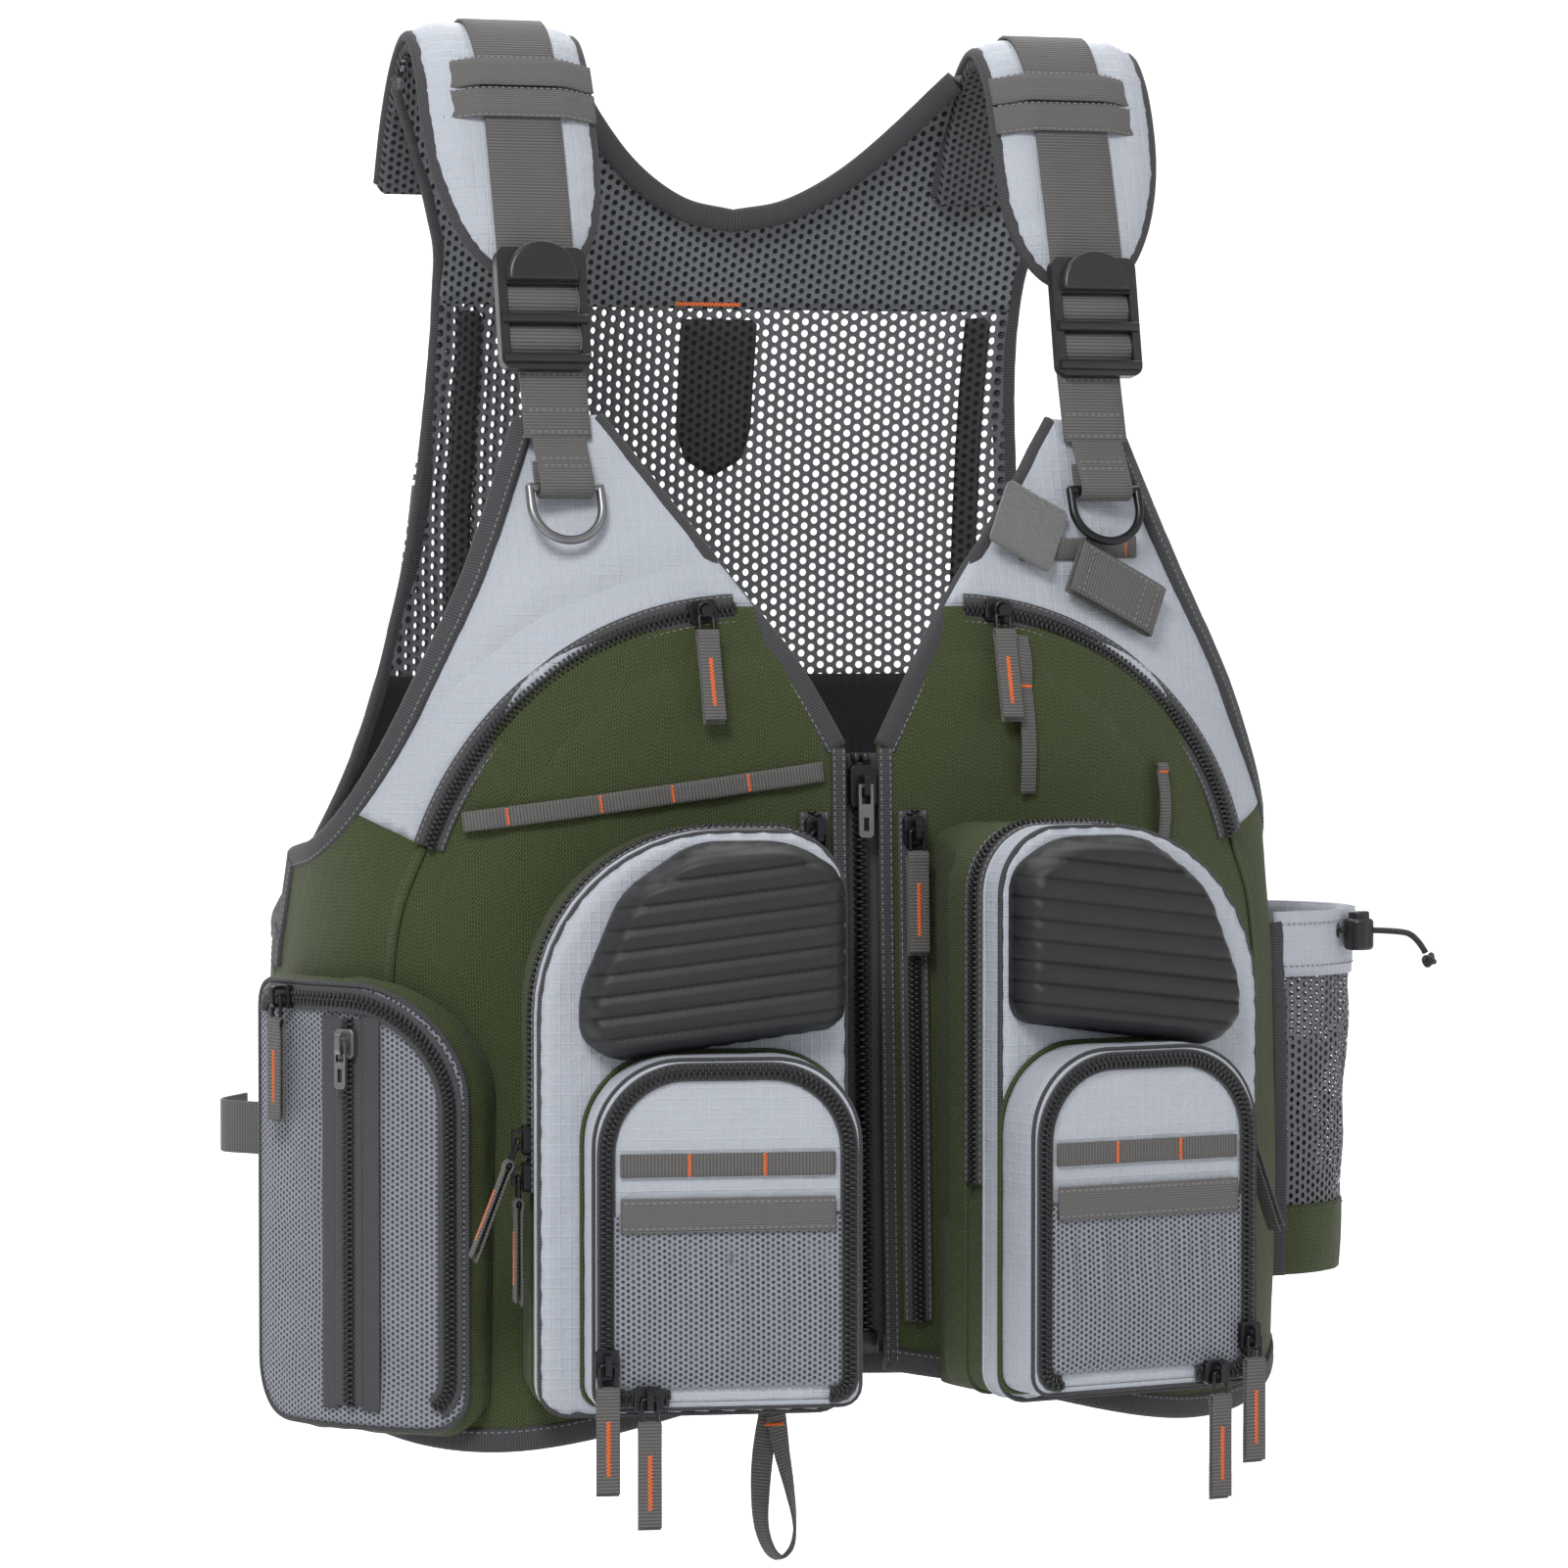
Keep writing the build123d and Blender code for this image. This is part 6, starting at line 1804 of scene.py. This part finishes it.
def make_bottle_pocket():
    bottle_wall("bottle_net", BOTTLE_NET_BOTTOM, BOTTLE_TOP - 28, 0.0, 0.6, M["bag_net"], "grey_net", 2.2,
                "bottle_pocket")
    bottle_wall("bottle_casing", BOTTLE_TOP - 31, BOTTLE_TOP, 1.4, 2.6, M["pale"], "grey_ripstop", 1.0)
    bottle_wall("bottle_base", BOTTLE_BOTTOM, -541, 0.8, 1.8, M["olive"], "olive_oxford", 1.4)
    rim = bottle_row(BOTTLE_BOTTOM, 0.8, folds=1.4)
    centre = sum(rim, Vector()) / len(rim)
    rows = [[centre + (p - centre) * f + Vector((0, 0, -3.5 * (1 - f * f))) for p in rim]
            for f in (0.02, 0.25, 0.5, 0.75, 0.95, 1.0)]
    low = [[p + Vector((0, 0, 1.2)) for p in row] for row in rows]
    body_rows = rows + low[::-1]
    finish_piece(grid_piece("bottle_floor", body_rows, M["olive"], closed=True), "root", "olive_oxford")
    for z in (BOTTLE_TOP - 6, BOTTLE_TOP - 26):
        row = bottle_row(z, 1.8, folds=1.0)
        middle = Vector((*BOTTLE_CENTRE, z))
        root_thread("grey_thread").run(row, [(p - middle).normalized() for p in row])
    row = bottle_row(-543, 1.2, folds=1.4)
    root_thread("olive_thread").run(row, [(p - Vector((*BOTTLE_CENTRE, -543))).normalized() for p in row])
    for name, end in (("a", 0), ("b", -1)):
        path = [bottle_row(z, 1.2)[end] for z in range(-574, BOTTLE_TOP + 1, 6)]
        ups = [Vector((p.x - BOTTLE_CENTRE[0], p.y - BOTTLE_CENTRE[1], 0)).normalized() for p in path]
        seam = sweep(f"bottle_seam_{name}", path, ups, strap_section(7, 1.4), M["binding"])
        finish_piece(seam, "root", "grey_binding")
    start, second = Vector(CORD_POINTS[0]), Vector(CORD_POINTS[1])
    along = (second - start).normalized()
    side = along.cross(Vector((0, 0, 1))).normalized()
    up = side.cross(along)
    ring = [start - along * 0.4 + side * 3.4 * math.cos(a) + up * 3.4 * math.sin(a)
            for a in [2 * math.pi * k / 28 for k in range(28)]]
    eyelet = sweep("cord_eyelet", ring, [along] * 28, oval(1.0, 0.8, 45), M["enamel"], closed=True)
    finish_piece(eyelet, "root", "black_metal")


# ---------------------------------------------------------------- pulls and sliders

PULL_LENGTH, PULL_WIDTH, PIVOT_HEIGHT, CHEST_PIVOT = 57, 10, 6.4, 7.8


def turned(m, z_up, tilt=0.0):
    """A slider's frame moved up to its pull's pivot, and tilted about it."""
    return m @ Matrix.Translation((0, 0, z_up)) @ Matrix.Rotation(-tilt, 4, "X")


def make_pull(name, m, side=1, length=PULL_LENGTH, link_top=0.0):
    """A wire link and a tongue of folded webbing with a row of orange thread, on its own pull."""
    x, y, z = axes(m)
    top = link_top - 1.0
    bend = round_corners(((2.2, -11.6, -90), (2.2, top, 0), (-2.2, top, 90), (-2.2, -11.6, 180)), 1.1)
    wire = resample([on_frame(m, *p) for p in bend], 0.8, closed=True)
    link = sweep(f"{name}_link", wire, [z] * len(wire), oval(0.95, 0.95, 45), M["enamel"], side, closed=True)
    finish_piece(link, name, "black_metal", name)
    low = -length + 0.8
    fold = ((low, -1.05), (low + 8, -1.1), (-30, -0.95), (-15, -1.05), (-12.4, -1.5), (-10.6, -1.2),
            (-9.7, 0),
            (-10.6, 1.2), (-12.4, 1.5), (-15, 1.05), (-30, 0.95), (low + 8, 1.1), (low + 1.2, 1.1))
    path = [on_frame(m, 0, u, v) for u, v in curve_points(fold, 90)]
    normals = [x.cross(t) * -1 for t in tangents(path)]
    if normals[10].dot(z) > 0:
        normals = [-n for n in normals]
    tongue = sweep(f"{name}_tongue", path, normals, strap_section(PULL_WIDTH, 0.95, -0.2), M["webbing"], side)
    finish_piece(tongue, name, "pull_webbing")
    sewn = Stitching(f"{name}_stitching", M["orange"])
    sewn.bartack(on_frame(m, 0, (low - 15) / 2, 1.75), y, z, -low * 0.42, side, width=2.6)
    sewn.make(name, "pull_webbing")


def slider_copy(node, source, target, name, side=1):
    """A parked slider, made from the mesh of a moving one."""
    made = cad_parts[node]
    move = target @ source.inverted()
    mesh = made.data.copy()
    world = made.matrix_world.copy()
    if side < 0:
        flip = Matrix.Scale(-1, 4, (1, 0, 0))
        move = flip @ move
    for vertex in mesh.vertices:
        p = move @ ((world @ vertex.co) / MM)
        vertex.co = p * MM
    if side < 0:
        mesh.flip_normals()
    mesh.materials.clear()
    mesh.materials.append(M["enamel"])
    obj = bpy.data.objects.new(name, mesh)
    bpy.context.scene.collection.objects.link(obj)
    finish_piece(obj, "root", "black_metal")


def cargo_slider_frame(z):
    local = plane((CARGO_LIMITS[1], z, CARGO_ZIP_W), (0, 0, -1), (1, 0, 0))
    return CARGO @ local


def small_place(x, y):
    return CARGO @ plane((x, y, SMALL_FACE), (1, 0, 0), (0, 0, 1))


def side_slider_frame():
    a = SIDE_FACING - math.radians(16)
    origin = Vector((SIDE_AXIS[0] + SIDE_RADIUS * math.cos(a), SIDE_AXIS[1] + SIDE_RADIUS * math.sin(a),
                     SIDE_TOP - SIDE_ZIP_INSET))
    return plane(origin, (-math.sin(a), math.cos(a), 0), (math.cos(a), math.sin(a), 0))


def make_pulls():
    m = chest_plane()
    x, y, z = axes(m)
    a = math.radians(82)
    radial = x * math.cos(a) + y * math.sin(a)
    facing = z * math.cos(CHEST_LEAN) + radial * math.sin(CHEST_LEAN)
    pivot = m.translation + radial * CHEST_RADIUS + facing * CHEST_PIVOT
    tilt = math.radians(15)
    chest = plane(pivot, (1, 0, 0), (0, -math.cos(tilt), math.sin(tilt)))
    placket = zip_frame(PLACKET_X, PLACKET_TOP, PLACKET_BOTTOM) @ Matrix.Translation((0, -9, 0))
    lead, end = cargo_slider_frame(CARGO_SLIDER_Z), cargo_slider_frame(CARGO_SLIDER_Z - END_SLIDER_GAP)
    small = small_place(SMALL_LIMITS[1] - SMALL_ZIP_INSET, -580)
    parked = small_place(SMALL_LIMITS[1] - 24, SMALL_BOTTOM + SMALL_ZIP_INSET)
    for side in (1, -1):
        name = side_name(side)
        make_pull(f"chest_pull_{name}", chest, side, length=53, link_top=-2.6)
        make_pull(f"placket_pull_{name}", turned(placket, PIVOT_HEIGHT), side)
        make_pull(f"cargo_pull_{name}", turned(lead, PIVOT_HEIGHT, math.radians(21)), side)
        make_pull(f"cargo_end_pull_{name}", turned(end, PIVOT_HEIGHT), side)
        make_pull(f"small_pull_{name}", turned(small, PIVOT_HEIGHT), side)
        make_pull(f"small_end_pull_{name}", turned(parked, PIVOT_HEIGHT), side)
        slider_copy("placket_slider_left", placket, end, f"cargo_end_slider_{name}", side)
        slider_copy("side_slider", side_slider_frame(), parked, f"small_end_slider_{name}", side)
    make_pull("side_pull", turned(side_slider_frame(), PIVOT_HEIGHT))
    # eyes of the chest pulls, round their studs
    turns = [2 * math.pi * k / 24 for k in range(24)]
    disc = [pivot + x * 3.1 * math.cos(b) + y * 3.1 * math.sin(b) for b in turns]
    for side in (1, -1):
        eye = sweep(f"chest_pull_eye_{side_name(side)}", disc, [z] * 24, oval(0.95, 0.8, 45), M["enamel"],
                    side,
                    closed=True)
        finish_piece(eye, f"chest_pull_{side_name(side)}", "black_metal")


# ---------------------------------------------------------------- side straps, rod loop, knot

GIRTH_Z = -494.5


def make_girth_straps():
    for side, bow in ((1, 0.5), (-1, 16)):
        line = [Vector(p) for p in curve_points(((241.6, 13), (240 + bow, 36), (237, 66)), 26)]
        path = [Vector((p.x + 0.2, p.y, GIRTH_Z)) for p in line]
        normals = [Vector((0, 0, -1)).cross(t) for t in tangents(path)]
        if normals[0].x < 0:
            normals = [n * -1 for n in normals]
        obj = sweep(f"girth_strap_{side_name(side)}", path, normals, strap_section(24, 1.5), M["webbing"],
                    side)
        finish_piece(obj, "root", "grey_webbing", *once(side, "girth_straps"))
        for i in (1, -2):
            root_thread("orange_thread").bartack(path[i] + normals[i] * 1.7, Vector((0, 0, 1)), normals[i],
                                                 21, side)


ROD_LOOP_X, ROD_LOOP_TOP = -48, HEM + 12


def make_rod_loop():
    m = plane((ROD_LOOP_X, front_y(ROD_LOOP_X, ROD_LOOP_TOP, PATCH_LEVEL + 3), ROD_LOOP_TOP), (1, 0, 0),
              (0, -1, 0))
    line = curve_points(((-1, 1), (-4, -16), (-5.5, -34), (-5, -50), (-1, -61), (4, -64.5), (9, -60),
                         (10.5, -50),
                         (8, -34), (4, -16), (1.2, 1)), 80)
    path = []
    for i, p in enumerate(line):
        t = i / (len(line) - 1)
        path.append(on_frame(m, p[0], p[1], 1.2 + 2.6 * (t - 0.5)))
    normals = []
    for i, t in enumerate(tangents(path)):
        turn = math.radians(10 + 66 * math.sin(math.pi * i / (len(path) - 1)) ** 1.5)
        front = Vector((0, -1, 0))
        flat = (front - t * front.dot(t)).normalized()
        normals.append(Matrix.Rotation(turn, 3, t) @ flat)
    obj = sweep("rod_loop_strap", path, normals, strap_section(9.5, 1.4, -0.7), M["webbing"])
    finish_piece(obj, "rod_loop", "grey_webbing", "rod_loop")
    sewn = Stitching("stitching_rod_loop", M["orange"])
    sewn.bartack(on_frame(m, 0, -4, 4.2), Vector((1, 0, 0)), Vector((0, -1, 0)), 9)
    sewn.make("rod_loop", "grey_webbing")


def make_knot():
    start, second = Vector(CORD_POINTS[-2]), Vector(CORD_POINTS[-1])
    along = (second - start).normalized()
    centre = second + along * 3.9
    side = along.cross(Vector((0, 1, 0))).normalized()
    up = side.cross(along)
    path = []
    for k in range(90):
        t = 2 * math.pi * k / 90
        a, b, c = math.sin(t) + 2 * math.sin(2 * t), math.cos(t) - 2 * math.cos(2 * t), -math.sin(3 * t)
        path.append(centre + side * a * 0.82 + up * b * 0.82 + along * c * 1.7)
    ups = []
    for i, t in enumerate(tangents(path, True)):
        n = path[i] - centre
        ups.append((n - t * n.dot(t)).normalized())
    obj = sweep("drawcord_knot_tied", path, ups, oval(1.35, 1.35, 45), M["cord"], closed=True)
    finish_piece(obj, "root", "black_cord", "drawcord_knot")
    return obj


# ---------------------------------------------------------------- putting it together

def paint(node, material):
    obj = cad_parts[node]
    obj.data.materials.clear()
    obj.data.materials.append(M[material])
    return obj


make_front()
make_back()
make_reinforcements()
make_yoke_tack()
make_bindings()
make_plackets()
make_pads()
make_shoulder_straps()
make_anchors()
make_main_zip()
make_placket_zips()
make_chest_zips()
make_gear_webbing()
make_rod_tab()
for hand in (1, -1):
    make_cargo(hand)
    make_small(hand)
    make_eva(hand)
make_side_pocket()
make_bottle_pocket()
make_pulls()
make_girth_straps()
make_rod_loop()
knot = make_knot()
finish_piece(drawcord, "root", "black_cord", "drawcord")
drawcord.data.materials.append(M["cord"])
for colour, slot_name in (("orange_thread", "grey_webbing"), ("grey_thread", "grey_binding"),
                          ("olive_thread", "olive_oxford")):
    root_thread(colour).make("root", slot_name)

for hand in ("left", "right"):
    paint(f"ladder_lock_{hand}", "plastic")
    for kind in ("chest", "placket", "cargo", "small"):
        paint(f"{kind}_slider_{hand}", "enamel")
paint("d_ring_left", "enamel")
paint("d_ring_right", "steel")
for node_name, key in (("main_slider", "enamel"), ("main_puller", "steel"), ("side_slider", "enamel"),
                       ("side_inner_slider", "steel"), ("side_inner_puller", "steel"),
                       ("cord_lock", "plastic"),
                       ("cord_lock_button", "plastic"), ("cord_lock_spring", "steel")):
    paint(node_name, key)

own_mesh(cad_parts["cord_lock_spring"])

# ---------------------------------------------------------------- studio

def make_studio():
    """A pale floor that sweeps up behind the vest, and three soft lights."""
    floor_z = HEM - 150
    profile = [(-6.0, 0.0), (2.2, 0.0)]
    for k in range(1, 19):
        a = math.radians(5 * k)
        profile.append((2.2 + 2.0 * math.sin(a), 2.0 * (1 - math.cos(a))))
    profile.append((4.2, 7.0))
    points = [(x, y, z) for y, z in profile for x in (-8.0, 8.0)]
    faces = [(2 * i, 2 * i + 1, 2 * i + 3, 2 * i + 2) for i in range(len(profile) - 1)]
    mesh = bpy.data.meshes.new("floor")
    mesh.from_pydata(points, [], faces)
    for polygon in mesh.polygons:
        polygon.use_smooth = True
    floor = bpy.data.objects.new("floor", mesh)
    floor.location = (0, 0, floor_z * MM)
    bpy.context.scene.collection.objects.link(floor)
    g = Graph("floor_paper", 0.95, specular=0.1)
    grain = g.noise(g.object_mm(), 0.3)
    g.finish(g.ramp(grain, (0.0, (0.87, 0.87, 0.87)), (1.0, (0.92, 0.92, 0.92))))
    mesh.materials.append(g.material)
    world = bpy.data.worlds.new("studio")
    world.use_nodes = True
    world.node_tree.nodes["Background"].inputs["Color"].default_value = (1, 1, 1, 1)
    world.node_tree.nodes["Background"].inputs["Strength"].default_value = 0.42
    bpy.context.scene.world = world
    for name, place, aim, size, power in (
            ("key", (-1.3, -1.9, 1.5), TARGET, 0.9, 52), ("fill", (1.9, -1.8, 0.3), TARGET, 2.0, 10),
            ("rim", (0.5, 1.6, 1.2), TARGET, 1.2, 16),
            ("backdrop", (0.0, 1.2, 2.6), Vector((0, 4.2, 0.2)), 3.0, 160)):
        data = bpy.data.lights.new(name, "AREA")
        data.size = size
        data.energy = power
        lamp = bpy.data.objects.new(name, data)
        lamp.location = place
        direction = Vector(place) - aim
        lamp.rotation_euler = direction.to_track_quat("Z", "Y").to_euler()
        bpy.context.scene.collection.objects.link(lamp)


make_studio()
bpy.context.scene.view_settings.view_transform = "Standard"
